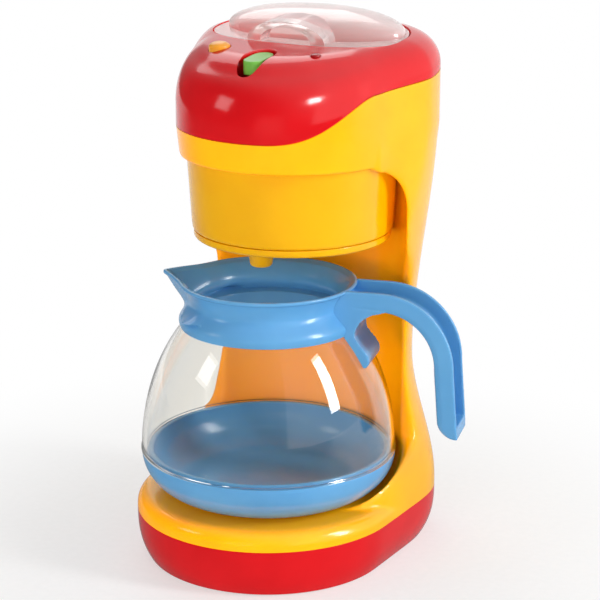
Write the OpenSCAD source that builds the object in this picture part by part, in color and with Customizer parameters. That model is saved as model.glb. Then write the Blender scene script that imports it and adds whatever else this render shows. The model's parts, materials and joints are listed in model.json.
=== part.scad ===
// Toy coffee maker: a two-colour machine with a tilting fill lid, two controls and a lift-out carafe.
// Millimetres. The origin lies under the carafe's axis on the table, the front faces -Y, +Z is up.
// Every piece of the machine's stack is placed from the height of the piece it stands on.

/* [Base] */
// Overall width of the base at the colour seam
base_w = 112.8; // [108:1:124]
// Reach of the base behind the carafe's axis
base_back = 72.8; // [70:1:78]
// Squareness of the base's back corners
base_square = 3.2; // [2.4:0.1:4.5]
// Height of the red tub
tub_h = 21; // [20:0.5:27]
// How far the tub's wall draws in towards the table
tub_taper = 5; // [0:0.5:6]
// Height of the yellow plate above the tub
plate_h = 7.6; // [6:0.2:12]
// Wall of the large mouldings
wall = 2.2; // [1.6:0.1:2.6]

/* [Column] */
// Width of the column at its waist
waist_w = 94.2; // [88:1:100]
// Reach of the waist behind the carafe's axis
waist_back = 68; // [67:0.5:71]
// Height of the waist above the plate
waist_h = 55; // [40:1:70]
// Gap between the carafe and the column's hollow face
bay_gap = 4.5; // [3:0.5:7]
// Height of the bay between the plate and the head
bay_h = 142; // [140:1:150]
// Height of the arch that blends the column into the head
arch_h = 18; // [14:1:26]
// Depth of that arch
arch_d = 17; // [12:1:24]

/* [Head] */
// Overall width of the head
head_w = 111.8; // [106:1:116]
// Reach of the head behind the carafe's axis
head_back = 75; // [73:0.5:79]
// Radius of the head's round front
lobe_r = 48.3; // [46:0.5:50]
// Distance from the carafe's axis back to the middle of that round
lobe_y = 20; // [18:0.5:22]
// Height of the yellow band at the front
band_h = 12.4; // [8:0.5:16]
// Rise of the colour seam from the front to the sides
seam_rise = 18; // [10:1:20]
// Height of the hood's top over the band's underside, at the carafe's axis
hood_h = 45.4; // [44:0.5:50]
// Rise of the top towards the back, as a ratio
top_slope = 0.1; // [0.06:0.01:0.14]
// Reach of the hood's rounding at the front
nose_reach = 22; // [18:0.5:24]
// Height of the hood's rounding at the front
nose_h = 26; // [22:0.5:28]
// Rounding of the hood's upper edge at the back
edge_round = 14; // [10:0.5:16]
// How much further back the seam rises on the left than on the right
seam_lag = 23; // [0:1:26]

/* [Brew basket] */
// Radius of the basket at its top
basket_top_r = 44.4; // [42:0.2:45.4]
// Radius of the basket at its bottom
basket_low_r = 42.4; // [38:0.2:43]
// Drop of the basket below the band
basket_h = 32; // [28:0.5:34]
// Thickness of the basket's floor disc
basket_floor_t = 3.2; // [1.6:0.1:4]
// Radius of the drip nozzle
nozzle_r = 5.6; // [4:0.2:7]
// Length of the drip nozzle
nozzle_l = 8.1; // [7:0.1:10]
// Distance of the nozzle in front of the carafe's axis
nozzle_y = 5.4; // [3:0.2:8]

/* [Carafe] */
// Radius of the carafe at its seam
carafe_r = 54; // [50:0.5:56]
// Height of the blue tray
tray_h = 18.2; // [16:0.5:22]
// Radius of the tray's flat bottom
tray_low_r = 34.5; // [30:0.5:38]
// Height of the clear globe up to the collar
globe_h = 54.6; // [50:0.5:56]
// Radius of the collar's foot
collar_r = 37.5; // [35:0.5:38.5]
// Radius of the collar's waist
collar_waist_r = 32.6; // [31.6:0.2:34]
// Height of the collar
collar_h = 18.8; // [16:0.5:19.2]
// Wall of the blue mouldings
blue_wall = 2; // [1.6:0.1:2.2]
// Wall of the clear globe
clear_wall = 1.8; // [1.4:0.1:2]
// Reach of the spout's tip
spout_reach = 46.4; // [42:0.2:48]

/* [Handle] */
// Turn of the handle from the machine's right-hand side
handle_turn = 15; // [5:1:20]
// Width of the handle
handle_w = 21; // [18:0.5:22]
// Depth of the handle's channel
handle_d = 8.4; // [7:0.2:9]
// Reach of the handle from the carafe's axis
handle_reach = 81; // [76:0.5:86]
// Length of the handle below the rim
handle_drop = 58; // [54:1:62]
// Radius of the handle's bend
handle_bend = 31; // [28:0.5:33]
// Wall of the handle's channel
handle_wall = 1.8; // [1.4:0.1:2.4]

/* [Lid] */
// Width of the recess that the lid lies in
recess_w = 88; // [86:0.2:92]
// Front edge of the recess behind the carafe's axis
recess_front = 13.4; // [13:0.2:15]
// Back edge of the recess behind the carafe's axis
recess_back = 66.4; // [65:0.2:67]
// Gap round the lid in its recess
lid_gap = 0.6; // [0.5:0.05:0.8]
// Width of the lid's dome
dome_w = 83; // [80:0.5:85]
// Height of the lid's dome
dome_h = 9.8; // [7:0.2:11]
// Width of the finger arch
arch_w = 37.4; // [34:0.2:40]
// Height of the finger arch
arch_up = 10; // [8:0.2:11]
// Wall of the lid
lid_wall = 1.4; // [1.2:0.1:1.6]
// Radius of the hinge pin
hinge_r = 1.2; // [1:0.1:1.3]
// Depth of the tank under the lid
tank_depth = 20; // [16:1:22]

/* [Controls] */
// Sideways distance of the button and the lamp from the middle
control_x = 22.6; // [20:0.2:25]
// Radius of the round button
button_r = 4.5; // [3.6:0.1:5]
// Height of the round button over the hood
button_rise = 2.2; // [2:0.1:3.4]
// Travel of the round button
button_travel = 1.6; // [1:0.1:1.8]
// Radius of the lamp's lens
lamp_r = 2.1; // [1.6:0.1:2.6]
// Length of the rocker's well
well_l = 22; // [20:0.5:23]
// Width of the rocker's well
well_w = 11.6; // [10.6:0.2:13]
// Middle of the well in front of the carafe's axis
well_y = 8.2; // [7.6:0.2:9]
// Width of the rocker
rocker_w = 8.8; // [8:0.2:9.4]
// Length of the rocker
rocker_l = 15.2; // [13:0.2:16]

/* [Electrics] */
// Diameter of a battery
battery_d = 14.2; // [13.5:0.1:14.5]
// Length of a battery
battery_l = 50.2; // [49:0.1:50.5]
// Radius of the speaker
speaker_r = 18; // [14:0.5:20]
// Thickness of the circuit board
board_t = 1.6; // [1.2:0.1:2]
// Radius of a case screw's shank
screw_r = 1.4; // [1.1:0.1:1.6]

/* [Fits] */
// Gap between pieces that are fixed together
seat = 0.1; // [0.05:0.01:0.15]
// Gap between pieces that move past each other
play = 0.5; // [0.4:0.05:0.7]
// Running clearance round the hinge pins
run = 0.06; // [0.03:0.01:0.09]

/* [Hidden] */
$fn = 64;
eps = 0.01;
far = 200;

// Heights of the stack
plate_z = tub_h + plate_h;
waist_z = plate_z + waist_h;
band_z = plate_z + bay_h;
seam_z = band_z + band_h;
hood_z = band_z + hood_h;
basket_z = band_z - basket_h;
floor_z = basket_z - basket_floor_t;
nozzle_z = floor_z - nozzle_l;
tray_z = plate_z + 2 * seat;
globe_z = tray_z + tray_h;
collar_z = globe_z + globe_h;
rim_z = collar_z + collar_h;
bay_r = carafe_r + bay_gap;

// Plan of the machine: a round front and a superellipse behind it
plan_y = 25;
waist_square = 2.65;
head_square = 2.8;
side_pts = 20;
lobe_pts = 25;
wing_reach = 22;
seam_from = -27;
seam_to = 8;
seam_side_slope = 0.1;
band_draft = 1.3;

function mix(a, b, t) = a + (b - a) * t;
function smooth(t) = let (u = min(max(t, 0), 1)) u * u * (3 - 2 * u);
function power(v, p) = sign(v) * pow(abs(v), p);
function super_pt(w, b, n, a) = [w * power(cos(a), 2 / n), b * power(sin(a), 2 / n)];
function super_arc(w, b, n, y, from, to, count) =
    [for (i = [0 : count - 1]) let (a = mix(from, to, i / (count - 1))) super_pt(w, b, n, a) + [0, y]];
function arc(r, y, from, to, count) =
    [for (i = [0 : count - 1]) let (a = mix(from, to, i / (count - 1))) [r * cos(a), y + r * sin(a)]];
function hermite(p, q, u, v, t) =
    p * (2 * t * t * t - 3 * t * t + 1) + u * (t * t * t - 2 * t * t + t)
    + q * (3 * t * t - 2 * t * t * t) + v * (t * t * t - t * t);
function flipped(pts) = [for (i = [len(pts) - 1 : -1 : 0]) [-pts[i][0], pts[i][1]]];
function lifted(pts, z) = [for (p = pts) [p[0], p[1], z]];

// Foot: a half round in front, straight sides and square-ish back corners
function foot_plan(inset) = concat(
    arc(base_w / 2 - inset, 0, 180, 360, lobe_pts),
    super_arc(base_w / 2 - inset, base_back - plan_y - inset, base_square, plan_y, 0, 180, 2 * side_pts));

// Column: flares from its waist to the foot's back below and to the head's back above
function low_flare(z) = smooth((waist_z - z) / (waist_z - tub_h - 3));
function high_flare(z) = smooth((z - waist_z) / (band_z + 19 - waist_z));
function column_w(z) = waist_w / 2 + (base_w - waist_w) / 2 * low_flare(z) + (head_w - waist_w) / 2 * high_flare(z);
function column_b(z) =
    waist_back + (base_back - waist_back) * low_flare(z) + (head_back - waist_back) * high_flare(z) - plan_y;
function column_n(z) =
    waist_square + (base_square - waist_square) * low_flare(z) + (head_square - waist_square) * high_flare(z);
function column_f(z) = wing_reach + 18 * smooth((plate_z + 24 - z) / 22);
function column_raw(z, inset) = let (w = column_w(z) - inset, n = column_n(z)) concat(
    super_arc(w, column_f(z) - inset, n, plan_y, 180, 360, 2 * side_pts),
    super_arc(w, column_b(z) - inset, n, plan_y, 9, 171, 2 * side_pts - 2));
// Under the head the column's front half is drawn in to the head's waisted sides
function column_plan(z, inset) = let (k = smooth((z - band_z + 34) / 34)) [for (p = column_raw(z, inset))
    p[1] > back_start(0)[1] ? p : [sign(p[0]) * mix(abs(p[0]), min(abs(p[0]), head_half(p[1]) - inset), k), p[1]]];

// Head: the round lobe runs through a shallow waist into the wider back
lobe_leave = 12;
back_from = 7.5;
function back_start(inset) =
    super_pt(head_w / 2 - inset, head_back - plan_y - 2 - inset, head_square, back_from) + [0, plan_y + 2];
function head_side(inset) =
    let (r = lobe_r - inset, p = [r * cos(lobe_leave), lobe_y - r * sin(lobe_leave)])
    [for (i = [1 : 5]) hermite(p, back_start(inset), [3, 22], [0.5, 18], i / 6)];
function head_plan(inset) = let (side = head_side(inset)) concat(
    arc(lobe_r - inset, lobe_y, 180 + lobe_leave, 360 - lobe_leave, lobe_pts), side,
    super_arc(head_w / 2 - inset, head_back - plan_y - 2 - inset, head_square, plan_y + 2,
        back_from, 180 - back_from, 2 * side_pts),
    flipped(side));
// Half width of the head's side between its round front and its back
function head_half(y) = y < lobe_y - lobe_r * sin(lobe_leave) ? sqrt(max(lobe_r * lobe_r - pow(y - lobe_y, 2), 0))
    : mix(lobe_r * cos(lobe_leave), back_start(0)[0],
        smooth((y - lobe_y + lobe_r * sin(lobe_leave)) / (back_start(0)[1] - lobe_y + lobe_r * sin(lobe_leave))));

// Colour seam between the hood and the housing
function seam(y, lag) = seam_z + seam_rise * smooth((y - lag - seam_from) / (seam_to - seam_from))
    + seam_side_slope * max(y - seam_to, 0);
// Top of the hood along the machine
function top_at(y) = hood_z + top_slope * y;

// Closed skin over rings of equal count, capped by fans
module loft(rings) {
    n = len(rings[0]);
    m = len(rings);
    mid = function (ring) [for (k = [0 : 2]) [for (p = ring) p[k]] * [for (p = ring) 1] / n];
    pts = concat([for (ring = rings) each ring], [mid(rings[0])], [mid(rings[m - 1])]);
    sides = [for (j = [0 : m - 2]) for (i = [0 : n - 1]) let (a = j * n + i, b = j * n + (i + 1) % n)
        each [[a, b + n, b], [a, a + n, b + n]]];
    low = [for (i = [0 : n - 1]) [m * n, i, (i + 1) % n]];
    high = [for (i = [0 : n - 1]) [m * n + 1, (m - 1) * n + (i + 1) % n, (m - 1) * n + i]];
    polyhedron(points = pts, faces = concat(sides, low, high), convexity = 8);
}

// Everything above or below the colour seam, which rises later on the left side
module seam_block(above, gap) {
    for (lag = [0, seam_lag]) {
        ys = [-far / 2, each [for (i = [0 : 12]) mix(seam_from, seam_to, i / 12) + lag], far / 2];
        edge = [for (y = ys) [y, seam(y, lag) + gap]];
        end_z = above ? hood_z + 60 : band_z - 60;
        translate([lag > 0 ? -far / 2 : 0, 0, 0]) rotate([90, 0, 90]) linear_extrude(far / 2)
            polygon(concat(edge, [[far / 2, end_z], [-far / 2, end_z]]));
    }
}

tub_curve = 2.8;
module tub_solid(inset, from) {
    steps = [0, 0.06, 0.15, 0.3, 0.55, 1];
    loft([for (s = steps) let (z = from + s * (tub_h - from))
        lifted(foot_plan(inset + tub_taper * pow(1 - z / tub_h, tub_curve)), z)]);
}

// The yellow plate's rounded upper edge
module plate_solid(inset, from, to) {
    loft(concat([lifted(foot_plan(inset), from)],
        [for (a = [0 : 15 : 90]) lifted(foot_plan(inset + 6 * (1 - cos(a))), to - 6 * (1 - sin(a)))]));
}

// The wings' front edges are cut back to a nearly straight line over the middle of the column
wing_y = 34.6;
function wing_front(z) = z > waist_z ? wing_y - 16 * smooth((z - waist_z - 34) / 32)
    : wing_y - 50 * smooth((plate_z + 22 - z) / 24);

module column_solid(inset, from, to) {
    steps = 12;
    difference() {
        loft([for (i = [0 : steps]) let (z = mix(from, to, i / steps)) lifted(column_plan(z, inset), z)]);
        rotate([90, 0, 90]) linear_extrude(far, center = true) polygon(concat([[-80, tub_h - 2]],
            [for (i = [0 : 20]) let (z = mix(plate_z - 3, band_z - 18, i / 20)) [wing_front(z) + inset, z]],
            [[-80, band_z - 18]]));
    }
}

module band_solid(inset, from, to) {
    loft([lifted(head_plan(inset + band_draft), from), lifted(head_plan(inset), seam_z),
        lifted(head_plan(inset), to)]);
}

// The round bay that the carafe stands in, with its arch into the head
module bay(grow) {
    r = bay_r + grow;
    top = band_z + grow;
    low = plate_z - grow;
    low_d = 18;
    low_h = 20;
    rotate_extrude($fn = 96) polygon(concat([[0, low]],
        [for (a = [0 : 10 : 90]) [r - low_d + low_d * sin(a), low + low_h - low_h * cos(a)]],
        [for (a = [0 : 10 : 90]) [r - arch_d + arch_d * cos(a), top - arch_h + arch_h * sin(a)]],
        [[0, top]]));
}

function basket_r(z) = mix(basket_low_r, basket_top_r, (z - basket_z) / basket_h);
module basket_cone(grow, from, to) {
    translate([0, lobe_y + 0.5, from])
        cylinder(r1 = basket_r(from) + grow, r2 = basket_r(to) + grow, h = to - from, $fn = 96);
}

cover_y = 62;
cover_screw_x = 20;
screw_sink = 1;
cover_screw_l = 7;
cover_screw_zs = [plate_z + 22, band_z - 46];
case_screw_in = 16.4;
case_screw_front = 42.4;
case_screw_back = 28.8;
case_screw_at = [for (y = [case_screw_front - base_w / 2, base_back - case_screw_back])
    for (s = [-1, 1]) [s * (base_w / 2 - case_screw_in), y]];
post_in = 5.8;
post_turn = 30.5;
post_side = 9.1;
post_back = 25;
hood_screw_at = concat(
    [for (s = [-1, 1]) [s * (lobe_r - post_in) * cos(post_turn), lobe_y - (lobe_r - post_in) * sin(post_turn)]],
    [for (s = [-1, 1]) [s * (head_w / 2 - post_side), head_back - post_back]]);
post_seat = band_z + 7;
boss_r = 3.6;
post_r = 4.2;
head_r = 2.6;

module at_each(places) {
    for (p = places) translate(p) children();
}

// Hollow yellow body before it is split into its front and its cover
module yellow_shell() {
    difference() {
        union() {
            plate_solid(0, tub_h + seat, plate_z);
            column_solid(0, tub_h + seat, band_z + 40);
            band_solid(0, band_z, band_z + 40);
        }
        bay(0);
        difference() {
            union() {
                plate_solid(wall, tub_h - 1, plate_z - wall);
                column_solid(wall, tub_h - 1, band_z + 41);
                band_solid(wall, band_z + wall, band_z + 41);
            }
            bay(wall);
        }
        seam_block(true, -seat / 2);
        basket_cone(seat, floor_z - seat, band_z + wall + 1);
    }
}

module cover_side(gap) {
    translate([-far / 2, cover_y + gap, -1]) cube([far, far, 2 * far]);
}

module screw(l, head) {
    cylinder(r = screw_r, h = l, $fn = 20);
    translate([0, 0, -head]) difference() {
        cylinder(r = head_r, h = head, $fn = 24);
        for (a = [0, 90]) rotate(a) translate([-1.5, -0.3, -eps]) cube([3, 0.6, head / 2]);
    }
}

// ---- base ----

contact_room = 5.9;
cell_room = 3.8;
door_l = battery_l + 2 * contact_room;
door_w = 2 * (battery_d + cell_room);
door_y = 22;
door_t = 2;
door_gap = 0.3;
door_screw_x = door_l / 2 - contact_room / 2 - 0.35;
grille_in = 30.4;
grille_y = grille_in - base_w / 2;
grille_hole_r = 1.1;
grille_step = 4 * grille_hole_r;

module base_tub() {
    color("#E3141B") {
        difference() {
            tub_solid(0, 0);
            tub_solid(wall, wall);
            translate([-door_l / 2, door_y - door_w / 2, -1]) cube([door_l, door_w, wall + 2]);
            at_each([for (p = case_screw_at) [p[0], p[1], -1]]) cylinder(r = screw_r + seat, h = wall + 3);
            at_each([for (p = case_screw_at) [p[0], p[1], -1]]) cylinder(r = head_r + seat, h = 2);
            for (ring = [0 : 2]) for (i = [0 : max(ring * 6 - 1, 0)])
                translate([ring * grille_step * cos(60 * i / max(ring, 1)),
                    grille_y + ring * grille_step * sin(60 * i / max(ring, 1)), -1])
                    cylinder(r = grille_hole_r, h = wall + 3, $fn = 16);
        }
        at_each([for (p = case_screw_at) [p[0], p[1], wall]]) difference() {
            cylinder(r = boss_r, h = tub_h - wall - 4);
            translate([0, 0, -1]) cylinder(r = screw_r + seat, h = tub_h);
        }
        battery_box();
        speaker_seat();
    }
}

// Walls that hold the two cells over their door
box_wall = 1.6;
module battery_box() {
    h = battery_d + box_wall / 2;
    difference() {
        translate([-door_l / 2 - box_wall, door_y - door_w / 2 - box_wall, wall])
            cube([door_l + 2 * box_wall, door_w + 2 * box_wall, h]);
        translate([-door_l / 2, door_y - door_w / 2, wall - 1]) cube([door_l, door_w, h + 2]);
    }
    difference() {
        union() {
            translate([-door_l / 2 - box_wall / 2, door_y - box_wall / 2, wall + 0.4])
                cube([door_l + box_wall, box_wall, h - 2]);
            translate([door_screw_x, door_y, wall + 0.4]) cylinder(r = head_r, h = 7);
        }
        translate([door_screw_x, door_y, -1]) cylinder(r = screw_r + seat, h = 11);
    }
}

module speaker_seat() {
    translate([0, grille_y, wall]) difference() {
        cylinder(r = speaker_r + seat + box_wall, h = 5);
        translate([0, 0, -1]) cylinder(r = speaker_r + seat, h = 8);
    }
}

module battery_door() {
    color("#D8121A") difference() {
        translate([-door_l / 2 + door_gap, door_y - door_w / 2 + door_gap, 2 * seat])
            cube([door_l - 2 * door_gap, door_w - 2 * door_gap, door_t]);
        translate([door_screw_x, door_y, -1]) {
            cylinder(r = screw_r + seat, h = 5);
            cylinder(r = head_r + seat, h = 1.9);
        }
    }
}

module door_screw() {
    color("silver") translate([door_screw_x, door_y, 0.9 - seat / 2]) screw(6, 0.7);
}

function cell_y(i) = door_y + (i - 0.5) * (door_w / 2 - 0.2);
cell_z = 4 * seat + door_t + battery_d / 2;
tip_l = 1.4;
tip_r = 2.6;

module batteries() {
    for (i = [0, 1]) translate([0, cell_y(i), cell_z]) rotate([0, i == 0 ? 90 : -90, 0]) {
        color("#3C4A55") translate([0, 0, -battery_l / 2]) cylinder(r = battery_d / 2, h = battery_l - tip_l);
        color("silver") translate([0, 0, battery_l / 2 - tip_l]) cylinder(r = tip_r, h = tip_l);
    }
}

// A plate at each end of each cell, with a coil for the flat end and a dimple for the tip
contact_w = 10;
contact_t = 0.5;
coil_wire_r = 0.55;
coil_r = 4.4;
coil_turns = 6;
module battery_contacts() {
    room = contact_room - contact_t - seat;
    color("silver") for (i = [0, 1]) for (s = [-1, 1])
        translate([s * (door_l / 2 - seat), cell_y(i), cell_z]) rotate([0, -s * 90, 0]) {
            translate([-contact_w / 2, -contact_w / 2, 0]) cube([contact_w, contact_w, contact_t]);
            if ((i == 0) == (s < 0)) for (k = [0 : coil_turns - 1])
                translate([0, 0, mix(contact_t + coil_wire_r - 2 * eps, room + contact_t - coil_wire_r - seat,
                    k / (coil_turns - 1))])
                    rotate_extrude($fn = 24) translate([coil_r - 0.35 * k, 0]) circle(r = coil_wire_r, $fn = 16);
            else cylinder(r = tip_r, h = room + contact_t - seat);
        }
}

speaker_t = 3;
cone_w = 10;
magnet_h = 6;
module speaker() {
    translate([0, grille_y, wall + seat]) {
        color("#30343A") difference() {
            cylinder(r = speaker_r, h = speaker_t);
            translate([0, 0, -speaker_t / 3])
                cylinder(r1 = speaker_r - box_wall, r2 = speaker_r - cone_w, h = speaker_t);
        }
        color("#9AA0A6") translate([0, 0, speaker_t - eps]) cylinder(r = speaker_r / 2, h = magnet_h);
    }
}

module case_screws() {
    color("silver") at_each([for (p = case_screw_at) [p[0], p[1], 1]]) screw(tub_h - 1, 0.9);
}

// ---- yellow housing ----

module front_housing() {
    color("#FFC800") {
        difference() {
            yellow_shell();
            cover_side(-seat / 2);
        }
        case_bosses();
        cover_bosses();
        hood_posts();
    }
}

// Bosses that take the case screws, the back ones on ribs from the side walls
module case_bosses() {
    from = tub_h - 3.8;
    for (p = case_screw_at) difference() {
        union() {
            translate([p[0], p[1], from]) cylinder(r = boss_r, h = plate_z - wall + 0.4 - from);
            if (p[1] > plan_y) translate([min(p[0], p[0] * side_at(p[1], tub_h + 4) / abs(p[0])), p[1] - 1, tub_h + 2])
                cube([side_at(p[1], tub_h + 4) - abs(p[0]), 2, plate_z - wall - tub_h - 2]);
        }
        translate([p[0], p[1], from - 1]) cylinder(r = screw_r + seat, h = 7);
    }
}

// Middle of the side wall behind the column's widest line
function side_at(y, z) = column_w(z) * pow(1 - pow((y - plan_y) / column_b(z), column_n(z)), 1 / column_n(z))
    - wall / 2;

// Bosses behind the hollow face that take the cover's screws
module cover_bosses() {
    for (z = cover_screw_zs) for (s = [-1, 1]) {
        from = sqrt(pow(bay_r + 1, 2) - pow(cover_screw_x, 2));
        translate([s * cover_screw_x, from, z]) rotate([-90, 0, 0]) difference() {
            cylinder(r = boss_r, h = boss_end(z) - wall - seat - from);
            translate([0, 0, 1]) cylinder(r = screw_r + seat, h = far);
        }
    }
}

function boss_end(z) = min([for (s = [-1, 1]) back_at(cover_screw_x + boss_r, z + s * boss_r)]);
function back_at(x, z) = plan_y + column_b(z) * pow(1 - pow(x / column_w(z), column_n(z)), 1 / column_n(z));

// Posts on the head's wall that the hood's screws pass through
post_z = seam_z - 0.3;
module hood_posts() {
    at_each([for (p = hood_screw_at) [p[0], p[1], band_z + 1]]) difference() {
        cylinder(r = post_r, h = post_z - band_z - 1);
        translate([0, 0, -2]) cylinder(r = screw_r + seat, h = far);
        translate([0, 0, -2]) cylinder(r = head_r + seat, h = post_seat - band_z + 1);
    }
}

module rear_cover() {
    color("#FFC800") difference() {
        intersection() {
            yellow_shell();
            cover_side(seat / 2);
        }
        for (z = cover_screw_zs) for (s = [-1, 1])
            translate([s * cover_screw_x, 0, z]) rotate([-90, 0, 0]) cylinder(r = screw_r + seat, h = far);
        for (z = cover_screw_zs) for (s = [-1, 1])
            translate([s * cover_screw_x, back_at(cover_screw_x, z) - screw_sink, z])
                rotate([-90, 0, 0]) cylinder(r = head_r + 0.3, h = 30);
    }
}

module cover_screws() {
    color("silver") for (z = cover_screw_zs) for (s = [-1, 1])
        translate([s * cover_screw_x, back_at(cover_screw_x, z) - screw_sink + seat / 2, z])
            rotate([90, 0, 0]) screw(cover_screw_l, screw_sink - seat);
}

// ---- brew basket ----

module brew_basket() {
    color("#FFC21A") difference() {
        union() {
            basket_cone(0, basket_z, band_z + wall + seat);
            translate([0, lobe_y + 0.5, band_z + wall + seat / 2])
                cylinder(r = lobe_r - wall - 2.6, h = 1.6, $fn = 96);
        }
        basket_cone(-wall, basket_z + 1.6, band_z + wall + 4);
        translate([0, lobe_y + 0.5, basket_z - 1]) cylinder(r = basket_low_r - 6, h = 5);
        at_each([for (p = hood_screw_at) [p[0], p[1], band_z]]) cylinder(r = post_r + 0.4, h = 20);
    }
}

module basket_floor() {
    color("#FFC21A") translate([0, lobe_y + 0.5, floor_z]) difference() {
        union() {
            cylinder(r = basket_low_r - 0.6, h = basket_floor_t - seat / 2, $fn = 96);
            cylinder(r = basket_low_r - 6 - seat, h = basket_floor_t + 1.4);
        }
        translate([0, -lobe_y - 0.5 - nozzle_y, -1]) cylinder(r = nozzle_r - 1.2 + seat, h = 8);
    }
}

module drip_nozzle() {
    color("#FFC21A") translate([0, -nozzle_y, nozzle_z]) difference() {
        union() {
            rotate_extrude() polygon(concat([[0, 0]],
                [for (a = [0 : 15 : 90]) [nozzle_r - 2.6 + 1.8 * sin(a), 1.8 - 1.8 * cos(a)]],
                [[nozzle_r, nozzle_l - 1.2], [nozzle_r, nozzle_l - seat / 2], [0, nozzle_l - seat / 2]]));
            cylinder(r = nozzle_r - 1.2, h = nozzle_l + basket_floor_t + 2.4);
        }
        translate([0, 0, -1]) cylinder(r = 2, h = 40);
    }
}

// ---- hood ----

// The hood's rounding: long at the nose, tight at the back
function nose(y) = smooth((30 - y) / 58);
function round_in(y) = mix(edge_round, nose_reach, nose(y));
function round_up(y) = mix(edge_round, nose_h, nose(y));
function hood_ring(a, gap) =
    let (outer = head_plan(gap), inner = head_plan(gap + nose_reach))
    [for (i = [0 : len(outer) - 1])
        let (y = outer[i][1], p = mix(outer[i], inner[i], round_in(y) * (1 - cos(a)) / nose_reach))
        [p[0], p[1], top_at(p[1]) - gap - round_up(y) * (1 - sin(a))]];
function shrunk(ring, k, gap) = [for (p = ring)
    let (y = lobe_y + 8 + (p[1] - lobe_y - 8) * k) [p[0] * k, y, top_at(y) - gap]];
function hood_rings(gap, from) = concat([lifted(head_plan(gap), from)],
    [for (a = [0 : 18 : 90]) hood_ring(a, gap)], [for (k = [0.66, 0.33]) shrunk(hood_ring(90, gap), k, gap)]);

// Recess for the lid, in the plane of the hood's top
recess_mid = 35.5;
recess_square = 2.7;
recess_round = 2.05;
function recess_plan(inset) = concat(
    super_arc(recess_w / 2 - inset, recess_mid - recess_front - inset, recess_square, recess_mid, 180, 360, 33),
    super_arc(recess_w / 2 - inset, recess_back - recess_mid - inset, recess_round, recess_mid, 6, 174, 29));

module on_top() {
    translate([0, 0, hood_z]) rotate([atan(top_slope), 0, 0]) children();
}

module slab(inset, from, to) {
    translate([0, 0, from]) linear_extrude(to - from) polygon(recess_plan(inset));
}

ledge = 3.2;
rim_t = 1.1;
flange_t = 1.2;
hinge_y = recess_back - 4;
hinge_up = 0.2;
lug_r = hinge_r + 1.2;
lug_x = 8;
lug_w = 3;
knuckle_x = lug_x + lug_w + play;

module well(grow, from, to) {
    translate([0, -well_y, from]) linear_extrude(to - from)
        polygon([for (a = [0 : 10 : 350]) super_pt(well_w / 2 + grow, well_l / 2 + grow, 2.3, a)]);
}

well_wall = 1.4;
well_z = hood_z - 10.4;

module hood() {
    color("#E3141B") {
        difference() {
            union() {
                hood_shell();
                hood_fittings();
            }
            well(0, well_z, hood_z + 20);
            // Slot in the well's floor for the rocker's stem
            translate([-2.4, stem_y - 2.4, well_z - 3]) cube([4.8, 4.8, 5]);
            pivot() cylinder(r = pivot_r + seat, h = far, center = true);
            translate([-control_x, 0, seam_z]) cylinder(r = button_r + play / 2, h = far);
            translate([control_x, 0, seam_z]) cylinder(r = lamp_r + seat, h = far);
            at_each([for (p = hood_screw_at) [p[0], p[1], post_z - 1]]) cylinder(r = screw_r + seat, h = 12);
        }
        recess_ledge();
        hinge_lugs();
    }
}

module hood_shell() {
    difference() {
        loft(hood_rings(0, seam_z - 3));
        loft(hood_rings(wall, seam_z - 4));
        seam_block(false, seat / 2);
        on_top() slab(0, -ledge, 30);
    }
}

// Rocker's well, screw bosses and board posts under the hood's skin
module hood_fittings() {
    difference() {
        intersection() {
            loft(hood_rings(wall / 2, seam_z - 4));
            union() {
                well(well_wall, well_z - well_wall, hood_z + 5);
                at_each([for (p = hood_screw_at) [p[0], p[1], post_z + seat]]) cylinder(r = boss_r, h = 50);
                at_each([for (s = [-1, 1]) [s * board_post_x, board_y + 5, board_z + board_t + seat / 2]])
                    cylinder(r = 2, h = 30);
            }
        }
        on_top() slab(-1, -ledge - 1, 30);
        // Below the seam the bosses keep clear of the housing's wall
        difference() {
            seam_block(false, seat / 2);
            loft(hood_rings(wall + band_draft / 2, post_z - 4));
        }
    }
}

// Ledge and skirt that the tank hangs on
module recess_ledge() {
    on_top() difference() {
        slab(-2, -ledge - 2, -1);
        slab(0, -ledge, 5);
        slab(3, -ledge - 5, 5);
    }
}

// Ears in the recess that carry the lid's pin
module hinge_lugs() {
    on_top() for (s = [-1, 1]) difference() {
        union() {
            translate([s * lug_x, hinge_y, hinge_up]) rotate([0, 90, 0]) cylinder(r = lug_r, h = lug_w, center = true);
            translate([s * lug_x - lug_w / 2, hinge_y - lug_r, -ledge - 0.3])
                cube([lug_w, recess_back - hinge_y + lug_r, ledge + 0.3 + hinge_up]);
        }
        translate([s * lug_x, hinge_y, hinge_up]) rotate([0, 90, 0])
            cylinder(r = hinge_r + run, h = 2 * lug_w, center = true);
    }
}

module hood_screws() {
    color("silver") at_each([for (p = hood_screw_at) [p[0], p[1], post_seat]]) screw(post_z - post_seat + 8, 1.4);
}

module water_tank() {
    color("#E3141B") on_top() difference() {
        union() {
            slab(0.6, -ledge + seat / 2, -ledge + seat / 2 + rim_t);
            slab(3 + seat, -tank_depth, -ledge + 1);
        }
        slab(3 + seat + 1.6, -tank_depth + 1.8, 5);
        translate([-knuckle_x - lug_w, hinge_y - lug_r - 1, -ledge - 0.4]) cube([2 * (knuckle_x + lug_w), 12, 5]);
    }
}

// ---- tank lid ----

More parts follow.
